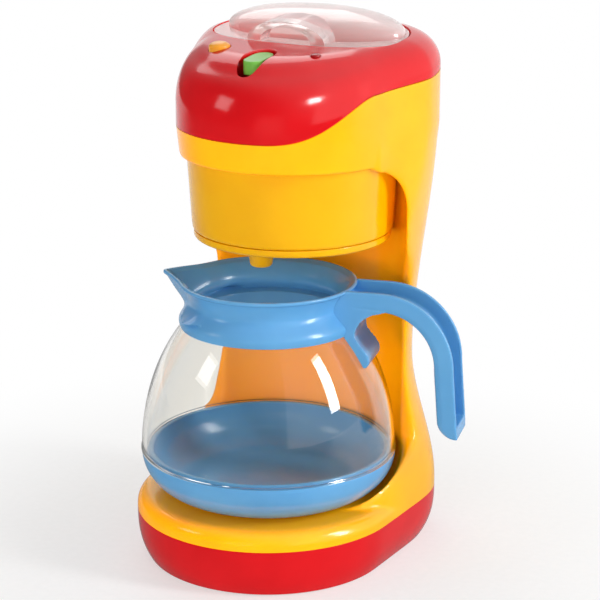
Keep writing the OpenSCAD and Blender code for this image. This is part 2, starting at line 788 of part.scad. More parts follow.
flange_z = -ledge + seat / 2 + rim_t + 0.3;
dome_y = 40;
dome_power = 2.3;
dome_front = dome_y - recess_front - 8.6;
dome_back = hinge_y - lug_r - dome_y - 0.4;
function dome_ring(t, a) =
    let (k = power(cos(a), 2 / dome_power), up = (dome_h - t) * power(sin(a), 2 / dome_power))
    [for (f = [0 : 7.5 : 352.5]) [(dome_w / 2 - t) * k * cos(f),
        dome_y + ((f < 180 ? dome_back : dome_front) - t) * k * sin(f), flange_z + flange_t + up]];
function dome_rings(t) = concat([[for (p = dome_ring(t, 0)) [p[0], p[1], flange_z - (t > 0 ? 1 : 0)]]],
    [for (a = [0, 10, 22, 36, 52, 68, 82]) dome_ring(t, a)]);
arch_front = recess_front + lid_gap;
arch_thick = 5.4;

module half_oval(w, h, y0, y1, from) {
    translate([0, y1, 0]) rotate([90, 0, 0]) linear_extrude(y1 - y0)
        polygon(concat([for (a = [0 : 10 : 180]) [w / 2 * cos(a), h * sin(a)]], [[-w / 2, from], [w / 2, from]]));
}

module tank_lid() {
    color("#F6D9D6", 0.6) on_top() {
        difference() {
            union() {
                difference() {
                    slab(lid_gap, flange_z, flange_z + flange_t);
                    translate([0, 0, -1]) loft(dome_rings(lid_wall));
                    translate([-far / 2, hinge_y - lug_r - 2 * seat, -far / 2]) cube(far);
                }
                difference() {
                    union() {
                        loft(dome_rings(0));
                        intersection() {
                            half_oval(arch_w, arch_up, arch_front, arch_front + 16, flange_z);
                            slab(lid_gap, flange_z, 2 * arch_up);
                        }
                    }
                    loft(dome_rings(lid_wall));
                    half_oval(arch_w - 2 * arch_thick - 2.8, arch_up - 3.7, arch_front - 1,
                        recess_front + 8.6, flange_z + flange_t);
                }
            }
            for (s = [-1, 1]) translate([s * lug_x - lug_w / 2 - play, hinge_y - lug_r - play, -6])
                cube([lug_w + 2 * play, 9, 30]);
        }
        lid_knuckles();
    }
}

module lid_knuckles() {
    for (s = [-1, 1]) difference() {
        union() {
            translate([s * knuckle_x, hinge_y, hinge_up]) rotate([0, 90, 0])
                cylinder(r = lug_r - 0.2, h = lug_w, center = true);
            translate([s * knuckle_x - lug_w / 2, hinge_y - lug_r - 1.2, flange_z]) cube([lug_w, lug_r + 1.2, flange_t]);
        }
        translate([s * knuckle_x, hinge_y, hinge_up]) rotate([0, 90, 0])
            cylinder(r = hinge_r + run, h = 2 * lug_w, center = true);
    }
}

module lid_hinge_pin() {
    color("silver") on_top() translate([0, hinge_y, hinge_up]) rotate([0, 90, 0])
        cylinder(r = hinge_r, h = 2 * knuckle_x + lug_w, center = true, $fn = 32);
}

// ---- controls ----

board_w = 54;
board_d = 18;
board_y = -3;
board_z = hood_z - 16.5;
skirt_r = button_r + 1.1;
skirt_z = hood_z - 7.6;
board_post_x = (well_w / 2 + well_wall + control_x - skirt_r) / 2;
switch_h = 3.4;
stem_top = 0.2;

module power_button() {
    color("#F8C030") translate([-control_x, 0, 0]) {
        difference() {
            union() {
                translate([0, 0, skirt_z]) cylinder(r = button_r, h = hood_z - 0.6 - skirt_z);
                translate([0, 0, hood_z - 0.6 - eps]) rotate_extrude() polygon(concat([[0, 0]],
                    [for (a = [0 : 10 : 90]) [button_r * cos(a), 0.6 + (button_rise) * sin(a)]]));
                translate([0, 0, skirt_z]) cylinder(r = skirt_r, h = 1.2);
            }
            translate([0, 0, skirt_z - 1]) cylinder(r = button_r - 1.2, h = 6.6);
        }
        translate([0, 0, board_z + board_t + switch_h + button_travel + stem_top])
            cylinder(r = 1.2, h = hood_z - 2 - (board_z + board_t + switch_h + button_travel + stem_top));
    }
}

// Return spring between the board and the button's skirt, swept along its helix
spring_turns = 4;
wire_r = 0.4;
module button_spring() {
    from = board_z + board_t + seat + wire_r;
    to = skirt_z - seat - wire_r;
    r = button_r + 0.5;
    steps = spring_turns * 14;
    color("silver") translate([-control_x, 0, 0]) loft([for (i = [0 : steps]) let (a = i * 360 / 14)
        [for (b = [0 : 60 : 300]) [(r + wire_r * cos(b)) * cos(a), (r + wire_r * cos(b)) * sin(a),
            mix(from, to, i / steps) + wire_r * sin(b)]]]);
}

// Rocker: a block with a round back end whose top follows the hood's slope
rocker_front = -well_y - well_l / 2 + 5;
rocker_back = rocker_front + rocker_l;
rocker_front_z = hood_z - 2.3;
rocker_slope = 0.11;
pivot_r = 1.2;
pivot_y = (rocker_front + rocker_back) / 2;
pivot_z = hood_z - 6;
stem_y = pivot_y - 3.6;
contact_h = 1.2;

module pivot() {
    translate([0, pivot_y, pivot_z]) rotate([0, 90, 0]) children();
}

module rocker_switch() {
    r = rocker_w / 2;
    low = well_z + 1.2;
    color("#8CC860") difference() {
        union() {
            difference() {
                translate([0, 0, low]) linear_extrude(12) polygon(concat(
                    [[-r, rocker_front + 1], [-r + 1, rocker_front], [r - 1, rocker_front], [r, rocker_front + 1]],
                    [for (a = [0 : 12 : 180]) [r * cos(a), rocker_back - r + r * sin(a)]]));
                translate([-10, rocker_front, rocker_front_z]) rotate([atan(rocker_slope), 0, 0])
                    translate([0, -5, 0]) cube([20, 40, 20]);
                // The underside is relieved towards both ends so that it can tilt
                translate([-10, pivot_y, low]) rotate([10, 0, 0]) translate([0, 0, -10]) cube([20, 20, 10]);
                translate([-10, pivot_y, low]) rotate([-10, 0, 0]) translate([0, -20, -10]) cube([20, 20, 10]);
            }
            translate([-1.6, stem_y - 1.2, board_z + board_t + contact_h + 0.7])
                cube([3.2, 2.4, low + 1.4 - board_z - board_t - contact_h - 0.7]);
        }
        pivot() cylinder(r = pivot_r + run, h = far, center = true);
    }
}

module rocker_pin() {
    color("silver") pivot() cylinder(r = pivot_r, h = well_w + 1.6 * well_wall, center = true, $fn = 32);
}

module circuit_board() {
    color("#2E7D4F") difference() {
        translate([-board_w / 2, board_y - board_d / 2, board_z]) cube([board_w, board_d, board_t]);
    }
}

module touch_switches() {
    color("#2A2A2A") {
        translate([-control_x - 3, -3, board_z + board_t]) cube([6, 6, switch_h - 0.8]);
        translate([-control_x, 0, board_z + board_t + switch_h - 0.9]) cylinder(r = 1.6, h = 0.9);
        translate([-3, stem_y - 2, board_z + board_t]) cube([6, 4, contact_h]);
    }
}

module indicator_lamp() {
    color("#C8101A") translate([control_x, 0, 0]) {
        translate([0, 0, board_z + board_t + seat]) cylinder(r = lamp_r, h = hood_z - board_z - board_t - seat - 0.2);
        translate([0, 0, hood_z - 0.3]) rotate_extrude() polygon(concat([[0, 0]],
            [for (a = [0 : 10 : 90]) [lamp_r * cos(a), 0.3 + 0.8 * sin(a)]]));
    }
}

// Two leads from the cells up the hollow column to the board
lead_r = 0.7;
lead_back_y = 64.1;
lead_x = 13.5;

module lead(points) {
    for (i = [0 : len(points) - 2]) {
        d = points[i + 1] - points[i];
        translate(points[i]) rotate([0, acos(d[2] / norm(d)), atan2(d[1], d[0])])
            cylinder(r = lead_r, h = norm(d), $fn = 16);
        if (i > 0) translate(points[i]) sphere(r = lead_r + 0.06, $fn = 16);
    }
}

module battery_leads() {
    rise_z = seam_z + 6;
    color("#303030") for (s = [-1, 1]) lead([
        [s * (door_l / 2 - 0.8), cell_y(1), cell_z + 5.1], [s * (door_l / 2 - 0.8), cell_y(1), tub_h + 1],
        [s * lead_x, lead_back_y, tub_h + 1], [s * lead_x, lead_back_y, rise_z],
        [s * lead_x, board_y, rise_z], [s * lead_x, board_y, board_z - seat / 2]]);
}

// ---- carafe ----

// Bowl of the tray, from its flat bottom to the seam
function tray_profile(inset, from) = [for (a = [0 : 9 : 90])
    [tray_low_r - inset + (carafe_r - tray_low_r) * sin(a), from + (tray_h - (from - tray_z)) * (1 - cos(a))]];
tray_lip = 4.6;

lip_r = carafe_r - clear_wall - seat - 1;
module carafe_tray() {
    floor_z = tray_z + 2.6;
    color("#6DB0E8") rotate_extrude($fn = 96) polygon(concat(
        [[0, tray_z + 1], [tray_low_r - 4, tray_z + 1], [tray_low_r - 3, tray_z]],
        tray_profile(0, tray_z), [[lip_r, globe_z], [lip_r, globe_z + tray_lip], [lip_r - blue_wall, globe_z + tray_lip]],
        [for (a = [90 : -9 : 0]) [mix(tray_low_r - 0.5, lip_r - blue_wall, sin(a)),
            mix(floor_z, globe_z, 1 - cos(a))]], [[0, floor_z]]));
}

// The globe is an ellipsoid that closes towards the collar
globe_tall = 73;
neck_h = 4;
function globe_at(z) = carafe_r * sqrt(1 - pow((z - globe_z) / globe_tall, 2));
function globe_profile(inset, steps) = [for (i = [0 : steps]) let (z = globe_z + seat + i * (globe_h - seat) / steps)
    [globe_at(z) - inset, z]];
function reversed(pts) = [for (i = [len(pts) - 1 : -1 : 0]) pts[i]];
neck_r = globe_at(collar_z);

module carafe_globe() {
    color("#F4F4EE", 0.35) rotate_extrude($fn = 96) polygon(concat(
        [[carafe_r - 1, globe_z + seat / 2], [carafe_r + 0.3, globe_z + seat / 2], [carafe_r + 0.3, globe_z + 1.2]],
        [for (p = globe_profile(0, 16)) if (p[1] > globe_z + 1.3) p],
        [[neck_r - 2.2, collar_z + 0.8], [neck_r - 2.2, collar_z + neck_h],
         [neck_r - 2.2 - clear_wall, collar_z + neck_h], [neck_r - 2.4 - clear_wall, collar_z - 0.4]],
        reversed(globe_profile(clear_wall, 16))));
}

// Concave wall of the collar, narrow at its waist and wide at its rim
rim_r = 37.3;
function collar_at(t) = t < 0.12 ? mix(collar_r, collar_r - 0.6, t / 0.12)
    : t < 0.55 ? mix(collar_r - 0.6, collar_waist_r, smooth((t - 0.12) / 0.43))
    : mix(collar_waist_r, rim_r, pow((t - 0.55) / 0.45, 1.7));
function collar_profile(inset) = [for (i = [0 : 14]) [collar_at(i / 14) - inset, collar_z - 0.6 + i * (collar_h + 0.6) / 14]];

// Wedge of the spout: wide at the rim, closing to its prow
spout_low = collar_z + 2.6;
spout_half = 15;
skirt_out_r = neck_r - 2.4 - clear_wall - 2 * seat;
module spout(inset) {
    k = inset * 1.6;
    pts = [[-spout_reach + k, 0, rim_z + inset], [-rim_r + 11, spout_half - inset, rim_z + inset],
        [-rim_r + 11, inset - spout_half, rim_z + inset], [-collar_r + 1 + k, 0, spout_low + inset],
        [-collar_waist_r + 7, 5 - inset, spout_low + inset], [-collar_waist_r + 7, inset - 5, spout_low + inset]];
    polyhedron(points = pts, faces = [[0, 1, 2], [3, 5, 4], [0, 4, 1], [0, 3, 4], [0, 2, 5], [0, 5, 3], [1, 4, 5],
        [1, 5, 2]]);
}

module carafe_collar() {
    color("#6DB0E8") rotate(handle_turn) difference() {
        union() {
            rotate_extrude($fn = 96) polygon(concat(collar_profile(0), [[0, rim_z], [0, collar_z - 0.6]]));
            spout(0);
        }
        // The slot that sits on the globe's neck, with a skirt left inside it
        rotate_extrude($fn = 96) polygon([[skirt_out_r, collar_z - 1], [globe_at(collar_z - 0.7) + seat, collar_z - 1],
            [globe_at(collar_z - 0.6) + seat, collar_z - 0.6], [neck_r + seat, collar_z + seat],
            [neck_r - 2.2 + seat, collar_z + 0.9], [neck_r - 2.2 + seat, collar_z + neck_h + seat],
            [skirt_out_r, collar_z + neck_h + seat]]);
        rotate_extrude($fn = 96) polygon(concat(
            [[0, collar_z - 1], [collar_waist_r - 3.4, collar_z - 1], [collar_waist_r - 3.4, collar_z + neck_h + seat]],
            [for (p = collar_profile(blue_wall)) if (p[1] > collar_z + neck_h + 1) p],
            [[rim_r - 1.5, rim_z + 1], [0, rim_z + 1]]));
        // The channel that opens the spout into the collar
        intersection() {
            spout(1.3);
            translate([-60, -30, collar_z + neck_h + 2]) cube([60, 60, 40]);
        }
    }
}

// Side view of the handle: out from the rim, round the bend and down
function handle_line(inset, drop) = let (r = handle_bend - inset, top = rim_z - inset)
    concat([[rim_r - 3, top]],
        [for (a = [90 : -10 : 0]) [handle_reach - handle_bend + r * cos(a), rim_z - handle_bend + r * sin(a)]],
        [[handle_reach + 2 - inset, rim_z - drop]]);

module handle_outline(inset, drop) {
    polygon(concat(handle_line(inset, drop), reversed(handle_line(handle_d - inset, drop))));
}

module handle_side(w) {
    rotate(handle_turn) rotate([90, 0, 0]) linear_extrude(w, center = true) children();
}

// Thumb lug under the handle: an S-curved face that bears on the globe
module thumb_lug() {
    face = [[38.6, rim_z - 8], [39, rim_z - 17], [40.6, rim_z - 21], [43.2, rim_z - 24.4], [45.4, rim_z - 27],
            [45.9, rim_z - 29.4], [44.6, rim_z - 32.4]];
    difference() {
        handle_side(handle_w) polygon(concat(face, [[36, rim_z - 32.4], [34, rim_z - 8]]));
        rotate_extrude($fn = 96) polygon(concat(
            [[0, collar_z - 30]], [for (p = globe_profile(-seat, 16)) if (p[1] > collar_z - 26 && p[1] < collar_z - 1) p],
            [[globe_at(collar_z - 0.8) + seat, collar_z - 0.8], [collar_r + seat, collar_z - 0.8]],
            [for (p = collar_profile(-seat)) p], [[rim_r + seat, rim_z + 1], [0, rim_z + 1]]));
    }
}

module carafe_handle() {
    color("#6DB0E8") {
        difference() {
            union() {
                handle_side(handle_w) handle_outline(0, handle_drop);
                // The rounded foot of the handle
                handle_side(handle_w) hull() {
                    translate([handle_reach + 2 - handle_d / 2, rim_z - handle_drop]) square([handle_d, 0.1], center = true);
                    translate([handle_reach + 2 - handle_d / 2 + 1.6, rim_z - handle_drop]) circle(r = handle_d / 2 - 1.6);
                }
            }
            handle_side(handle_w - 2 * handle_wall) handle_channel();
            rotate_extrude($fn = 96) polygon(concat([for (p = collar_profile(-seat)) p],
                [[rim_r + seat, rim_z + 1], [0, rim_z + 1], [0, collar_z]]));
        }
        thumb_lug();
    }
}

module handle_channel() {
    polygon(concat(handle_line(-1, handle_drop - 1), reversed(handle_line(handle_d - handle_wall, handle_drop - 1))));
}

base_tub();
battery_door();
door_screw();
batteries();
battery_contacts();
speaker();
case_screws();
front_housing();
rear_cover();
cover_screws();
brew_basket();
basket_floor();
drip_nozzle();
hood();
hood_screws();
water_tank();
tank_lid();
lid_hinge_pin();
power_button();
button_spring();
rocker_switch();
rocker_pin();
circuit_board();
touch_switches();
indicator_lamp();
battery_leads();
carafe_tray();
carafe_globe();
carafe_collar();
carafe_handle();
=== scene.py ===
# %% [markdown]
# # Toy coffee maker
# A child's pretend drip coffee maker: glossy moulded plastic in four colours, with a clear carafe.
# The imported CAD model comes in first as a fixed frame. Every piece below sits in that frame, in metres,
# and rides on one of its bodies, so the lid, the button, the rocker and the carafe all still move.

# %% Load the frame
import bpy
import bmesh
import json
import math
import numpy as np
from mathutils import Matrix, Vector


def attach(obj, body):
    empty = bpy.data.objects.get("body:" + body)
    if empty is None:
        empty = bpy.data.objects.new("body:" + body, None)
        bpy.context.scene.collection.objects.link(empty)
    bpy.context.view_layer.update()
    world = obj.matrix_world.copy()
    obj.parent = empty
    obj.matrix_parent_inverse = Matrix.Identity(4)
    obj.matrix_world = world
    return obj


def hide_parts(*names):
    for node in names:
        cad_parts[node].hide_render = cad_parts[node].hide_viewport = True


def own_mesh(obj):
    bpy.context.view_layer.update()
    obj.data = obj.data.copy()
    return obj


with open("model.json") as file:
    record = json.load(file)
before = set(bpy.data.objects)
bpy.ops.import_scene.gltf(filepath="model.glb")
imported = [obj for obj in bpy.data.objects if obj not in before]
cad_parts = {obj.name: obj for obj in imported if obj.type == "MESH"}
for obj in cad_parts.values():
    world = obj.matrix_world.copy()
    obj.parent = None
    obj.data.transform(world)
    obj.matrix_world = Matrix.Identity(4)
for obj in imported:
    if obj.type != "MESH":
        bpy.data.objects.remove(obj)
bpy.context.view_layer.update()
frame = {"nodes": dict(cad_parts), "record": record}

scene = bpy.context.scene
MM = 0.001

# %% [markdown]
# ## Sizes
# These are the sizes of the construction in millimetres, with the names that it gives them. The big
# mouldings are rebuilt from them with many more points, because a glossy skin shows every flat facet.

# %% Sizes of the machine
BASE_W, BASE_BACK, BASE_SQUARE = 112.8, 72.8, 3.2
TUB_H, TUB_TAPER, TUB_CURVE, PLATE_H, WALL, SEAT = 21.0, 5.0, 2.8, 7.6, 2.2, 0.1
WAIST_W, WAIST_BACK, WAIST_H, WAIST_SQUARE = 94.2, 68.0, 55.0, 2.65
HEAD_W, HEAD_BACK, HEAD_SQUARE, LOBE_R, LOBE_Y = 111.8, 75.0, 2.8, 48.3, 20.0
BAND_H, BAND_DRAFT, HOOD_H, TOP_SLOPE = 12.4, 1.3, 45.4, 0.1
NOSE_REACH, NOSE_H, EDGE_ROUND = 22.0, 26.0, 14.0
CARAFE_R, BAY_GAP, BAY_H, PLAN_Y = 54.0, 4.5, 142.0, 25.0
PLATE_Z = TUB_H + PLATE_H
WAIST_Z = PLATE_Z + WAIST_H
BAND_Z = PLATE_Z + BAY_H
SEAM_Z = BAND_Z + BAND_H
HOOD_Z = BAND_Z + HOOD_H
BAY_R = CARAFE_R + BAY_GAP
print(f"plate {PLATE_Z} mm, band {BAND_Z} mm, seam {SEAM_Z} mm, hood {HOOD_Z} mm")

# %% [markdown]
# ## Plans
# Seen from above, the base, the column and the head are each a round front joined to a superellipse.
# A superellipse is an ellipse with a power in it that squares its corners. Points along it come from its
# angle, so one small function serves all three, and the rings of every skin keep the same number of points.

# %% Curves seen from above
def mix(a, b, t):
    return a + (b - a) * t


def smooth(t):
    u = min(max(t, 0.0), 1.0)
    return u * u * (3 - 2 * u)


def power(v, p):
    return math.copysign(abs(v) ** p, v)


def super_arc(w, b, n, y, start, stop, count):
    """Part of a superellipse of half width w and half depth b, squared by n, about (0, y)."""
    out = []
    for a in np.radians(np.linspace(start, stop, count)):
        out.append((w * power(math.cos(a), 2 / n), y + b * power(math.sin(a), 2 / n)))
    return out


def round_arc(r, y, start, stop, count):
    return [(r * math.cos(a), y + r * math.sin(a)) for a in np.radians(np.linspace(start, stop, count))]


def even(points, count):
    """The same closed line with its points evenly spaced, starting at its front."""
    p = np.array(points)
    start = int(np.argmin(p[:, 1] + 0.001 * abs(p[:, 0])))
    p = np.roll(p, -start, axis=0)
    p = np.vstack([p, p[:1]])
    s = np.concatenate([[0], np.cumsum(np.linalg.norm(np.diff(p, axis=0), axis=1))])
    t = np.linspace(0, s[-1], count, endpoint=False)
    return np.column_stack([np.interp(t, s, p[:, 0]), np.interp(t, s, p[:, 1])])


def foot_plan(inset, count=240):
    w = BASE_W / 2 - inset
    return even(round_arc(w, 0, 180, 360, 121)[:-1]
                + super_arc(w, BASE_BACK - PLAN_Y - inset, BASE_SQUARE, PLAN_Y, 0, 180, 301), count)


print("foot plan:", len(foot_plan(0)), "points")

# %% Plan of the head
# The sides leave the round nose 12 degrees before its widest point and meet the square back 7.5 degrees
# behind its widest point. The pulls say how straight they run off at each end, in mm
LEAVE, BACK_FROM, NOSE_PULL, BACK_PULL = 12.0, 7.5, (3.0, 22.0), (0.5, 18.0)
BACK_Y = PLAN_Y + 2


def back_start(inset):
    a = math.radians(BACK_FROM)
    return np.array([(HEAD_W / 2 - inset) * math.cos(a) ** (2 / HEAD_SQUARE),
                     BACK_Y + (HEAD_BACK - BACK_Y - inset) * math.sin(a) ** (2 / HEAD_SQUARE)])


def head_plan(inset, count=320):
    r, a = LOBE_R - inset, math.radians(LEAVE)
    p, q = np.array([r * math.cos(a), LOBE_Y - r * math.sin(a)]), back_start(inset)
    u, v = np.array(NOSE_PULL), np.array(BACK_PULL)
    side = []
    for t in np.linspace(0, 1, 26)[1:-1]:
        side.append(p * (2 * t**3 - 3 * t * t + 1) + u * (t**3 - 2 * t * t + t)
                    + q * (3 * t * t - 2 * t**3) + v * (t**3 - t * t))
    side = [tuple(s) for s in side]
    back = super_arc(HEAD_W / 2 - inset, HEAD_BACK - BACK_Y - inset, HEAD_SQUARE, BACK_Y,
                     BACK_FROM, 180 - BACK_FROM, 301)
    flipped = [(-x, y) for x, y in reversed(side)]
    return even(round_arc(r, LOBE_Y, 180 + LEAVE, 360 - LEAVE, 121) + side + back + flipped, count)


print("head plan:", len(head_plan(0)), "points")

# %% Colour seam and top
SEAM_RISE, SEAM_FROM, SEAM_RUN, SEAM_LAG = 18.0, -27.0, 35.0, 23.0


def seam(x, y):
    """Height of the seam between yellow and red. It climbs further back on the left than on the right."""
    lag = SEAM_LAG * smooth((3 - x) / 6)
    return SEAM_Z + SEAM_RISE * smooth((y - lag - SEAM_FROM) / SEAM_RUN) + 0.1 * max(y - 8, 0)


def top_at(y):
    return HOOD_Z + TOP_SLOPE * y


print(f"seam: {seam(0, -28):.1f} mm in front, {seam(50, 40):.1f} mm at the right, top {top_at(75):.1f} mm")

# %% [markdown]
# ## Skins
# A moulded skin can be modelled by hand with a subdivision surface, or lofted: rings of points are stacked
# and joined by quads. Lofting is used here, because the plans above already say where every ring runs.
# A fan closes each end of the stack, or its last ring joins its first and makes a hoop. Round pieces are a
# profile turned about an upright axis, as on a lathe.

# %% Loft and revolve
def loft(rings, hoop=False):
    """Quads between rings of equal count. Fans close both ends, unless the last ring joins the first."""
    rings = [np.asarray(r, float) for r in rings]
    n, m = len(rings[0]), len(rings)
    verts = np.vstack(rings)
    faces = []
    for j in range(m if hoop else m - 1):
        for i in range(n):
            a, b, up = j * n + i, j * n + (i + 1) % n, (j + 1) % m * n - j * n
            faces.append((a, b, b + up, a + up))
    if not hoop:
        verts = np.vstack([verts, rings[0].mean(0), rings[-1].mean(0)])
        faces += [(m * n, (i + 1) % n, i) for i in range(n)]
        faces += [(m * n + 1, (m - 1) * n + i, (m - 1) * n + (i + 1) % n) for i in range(n)]
    return verts, faces


def lifted(plan, z):
    z = np.full(len(plan), float(z)) if np.isscalar(z) else np.asarray(z, float)
    return np.column_stack([plan, z])


def revolve(profile, count, centre=(0.0, 0.0)):
    """A closed profile of (radius, height) turned about a vertical axis. Points on the axis become one."""
    verts, faces, rows = [], [], []
    turn = np.linspace(0, 2 * math.pi, count, endpoint=False)
    for r, z in profile:
        if r < 1e-6:
            rows.append([len(verts)] * count)
            verts.append((centre[0], centre[1], z))
        else:
            rows.append(list(range(len(verts), len(verts) + count)))
            verts += [(centre[0] + r * math.cos(a), centre[1] + r * math.sin(a), z) for a in turn]
    for lower, upper in zip(rows, rows[1:] + rows[:1]):
        for i in range(count):
            k = (i + 1) % count
            face = []
            for v in (lower[i], lower[k], upper[k], upper[i]):
                if v not in face:
                    face.append(v)
            if len(face) > 2:
                faces.append(tuple(face))
    return verts, faces


square = [(0, 0), (1, 0), (1, 1), (0, 1)]
print("a box from two rings:", len(loft([lifted(square, 0), lifted(square, 1)])[1]), "faces")

# %% [markdown]
# ## Objects and their edges
# Two moulded forms are joined, or one is cut with another, by a Boolean modifier whose result becomes the
# mesh. A bevel often fails on such cuts, so where a mould has soft edges the solid is remeshed to small even
# quads and relaxed instead. Weighted normals keep the flats flat in the highlights.

# %% Make, cut and soften
def make(name, parts):
    """One Blender object from one or more (verts, faces) pairs given in millimetres."""
    verts, faces = [], []
    for v, f in parts:
        faces += [tuple(i + len(verts) for i in face) for face in f]
        verts += [tuple(c * MM for c in p) for p in v]
    mesh = bpy.data.meshes.new(name)
    mesh.from_pydata(verts, [], faces)
    mesh.validate()
    bm = bmesh.new()
    bm.from_mesh(mesh)
    bmesh.ops.recalc_face_normals(bm, faces=bm.faces)
    bm.to_mesh(mesh)
    bm.free()
    piece = bpy.data.objects.new(name, mesh)
    scene.collection.objects.link(piece)
    return piece


def applied(piece):
    """Turns the piece's modifiers into its own mesh."""
    bpy.context.view_layer.update()
    mesh = bpy.data.meshes.new_from_object(piece.evaluated_get(bpy.context.evaluated_depsgraph_get()))
    piece.modifiers.clear()
    old = piece.data
    piece.data = mesh
    bpy.data.meshes.remove(old)
    return piece


def cut(piece, tool, how="DIFFERENCE"):
    """Cuts, joins or trims the piece with a tool, and throws the tool away."""
    step = piece.modifiers.new("cut", "BOOLEAN")
    step.operation, step.object, step.solver = how, tool, "MANIFOLD"
    applied(piece)
    bpy.data.objects.remove(tool)
    return piece


def soften(piece, voxel, rounds):
    """Remeshes a solid to small even quads and relaxes them, which rounds every edge as a mould does."""
    quads = piece.modifiers.new("quads", "REMESH")
    quads.mode, quads.voxel_size, quads.adaptivity = "VOXEL", voxel * MM, 0.0
    relax = piece.modifiers.new("relax", "SMOOTH")
    relax.factor, relax.iterations = 0.5, rounds
    return applied(piece)


print("tools for edges: boolean cut, voxel remesh, smooth")

# %% Plain cutters
def block(x0, x1, y0, y1, z0, z1):
    verts = [(x, y, z) for z in (z0, z1) for y in (y0, y1) for x in (x0, x1)]
    return verts, [(0, 2, 3, 1), (4, 5, 7, 6), (0, 1, 5, 4), (2, 6, 7, 3), (0, 4, 6, 2), (1, 3, 7, 5)]


def prism(outline, x0, x1):
    """A (y, z) outline drawn out along X."""
    n = len(outline)
    verts = [(x0, y, z) for y, z in outline] + [(x1, y, z) for y, z in outline]
    faces = [tuple(range(n)), tuple(reversed(range(n, 2 * n)))]
    return verts, faces + [(i, i + n, (i + 1) % n + n, (i + 1) % n) for i in range(n)]


def rod(r, centre, start, stop, axis="z", count=48):
    """A plain round cutter or pin, upright or along X."""
    ring = [(r * math.cos(a), r * math.sin(a)) for a in np.linspace(0, 2 * math.pi, count, endpoint=False)]
    if axis == "x":
        return loft([[(w, centre[0] + u, centre[1] + v) for u, v in ring] for w in (start, stop)])
    return loft([[(centre[0] + u, centre[1] + v, w) for u, v in ring] for w in (start, stop)])


print("a block cutter has", len(block(0, 1, 0, 1, 0, 1)[1]), "faces")

# %% Shade and place
def shade(piece, angle=32):
    """Smooth shading that stays crisp at real edges, with big faces leading the normals."""
    piece.data.polygons.foreach_set("use_smooth", [True] * len(piece.data.polygons))
    piece.data.set_sharp_from_angle(angle=math.radians(angle))
    lead = piece.modifiers.new("weight", "WEIGHTED_NORMAL")
    lead.keep_sharp, lead.weight = True, 60
    return piece


def place(piece, skin, body, slot, *nodes):
    """Gives the piece its finish and its body to ride on, and hides the CAD nodes that it stands for."""
    piece.data.materials.clear()
    piece.data.materials.append(skin)
    piece.data.polygons.foreach_set("material_index", [0] * len(piece.data.polygons))
    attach(piece, body)
    if nodes:
        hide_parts(*nodes)
    print(f"{piece.name}: {len(piece.data.polygons)} faces")
    return piece


# %% [markdown]
# ## Materials
# Each finish is a small node graph. Colours are written as sRGB hex, as a moulder's colour chip is, and one
# function turns them to the linear values that a renderer adds up. `put` adds any node with its settings.
# `grain` turns the real size of a pattern to the scale of a noise, so that it is the same on every piece.

# %% Colour and node helpers
def linear(chip):
    """#rrggbb to a linear colour with alpha."""
    out = []
    for k in (1, 3, 5):
        c = int(chip[k:k + 2], 16) / 255
        out.append(c / 12.92 if c <= 0.04045 else ((c + 0.055) / 1.055) ** 2.4)
    return (*out, 1.0)


def grain(size):
    """The noise scale whose blotches are about this many millimetres across."""
    return 1 / (size * MM)


def put(tree, kind, links=(), stops=(), values=(), **settings):
    """Adds a node. Links are (source socket, input), stops a ramp's (place, colour), values (input, value).

    A setting is an input of that name, with __ for a space, or else an option of the node.
    """
    made = tree.nodes.new(kind)
    for key, value in settings.items():
        name = key.replace("__", " ")
        if name in made.inputs:
            made.inputs[name].default_value = value
        else:
            setattr(made, key, value)
    for k, value in values:
        made.inputs[k].default_value = value
    for k, (at, colour) in enumerate(stops):
        made.color_ramp.elements[k].position = at
        made.color_ramp.elements[k].color = colour
    for source, target in links:
        tree.links.new(source, made.inputs[target])
    return made


def finish(name):
    made = bpy.data.materials.new(name)
    made.use_nodes = True
    tree = made.node_tree
    tree.nodes.clear()
    return made, tree


print("mid grey #808080 is", round(linear("#808080")[0], 3), "in linear light")

# %% [markdown]
# ## Moulded colours
# The toy is moulded in ABS from a polished steel tool, which gives the eye a clean highlight over a full
# colour. ABS is dyed in the mass, so there is no paint to chip. A painted look could be made with a coat
# layer, but this plastic has none. The darker chip of each pair is where the melt packed denser.

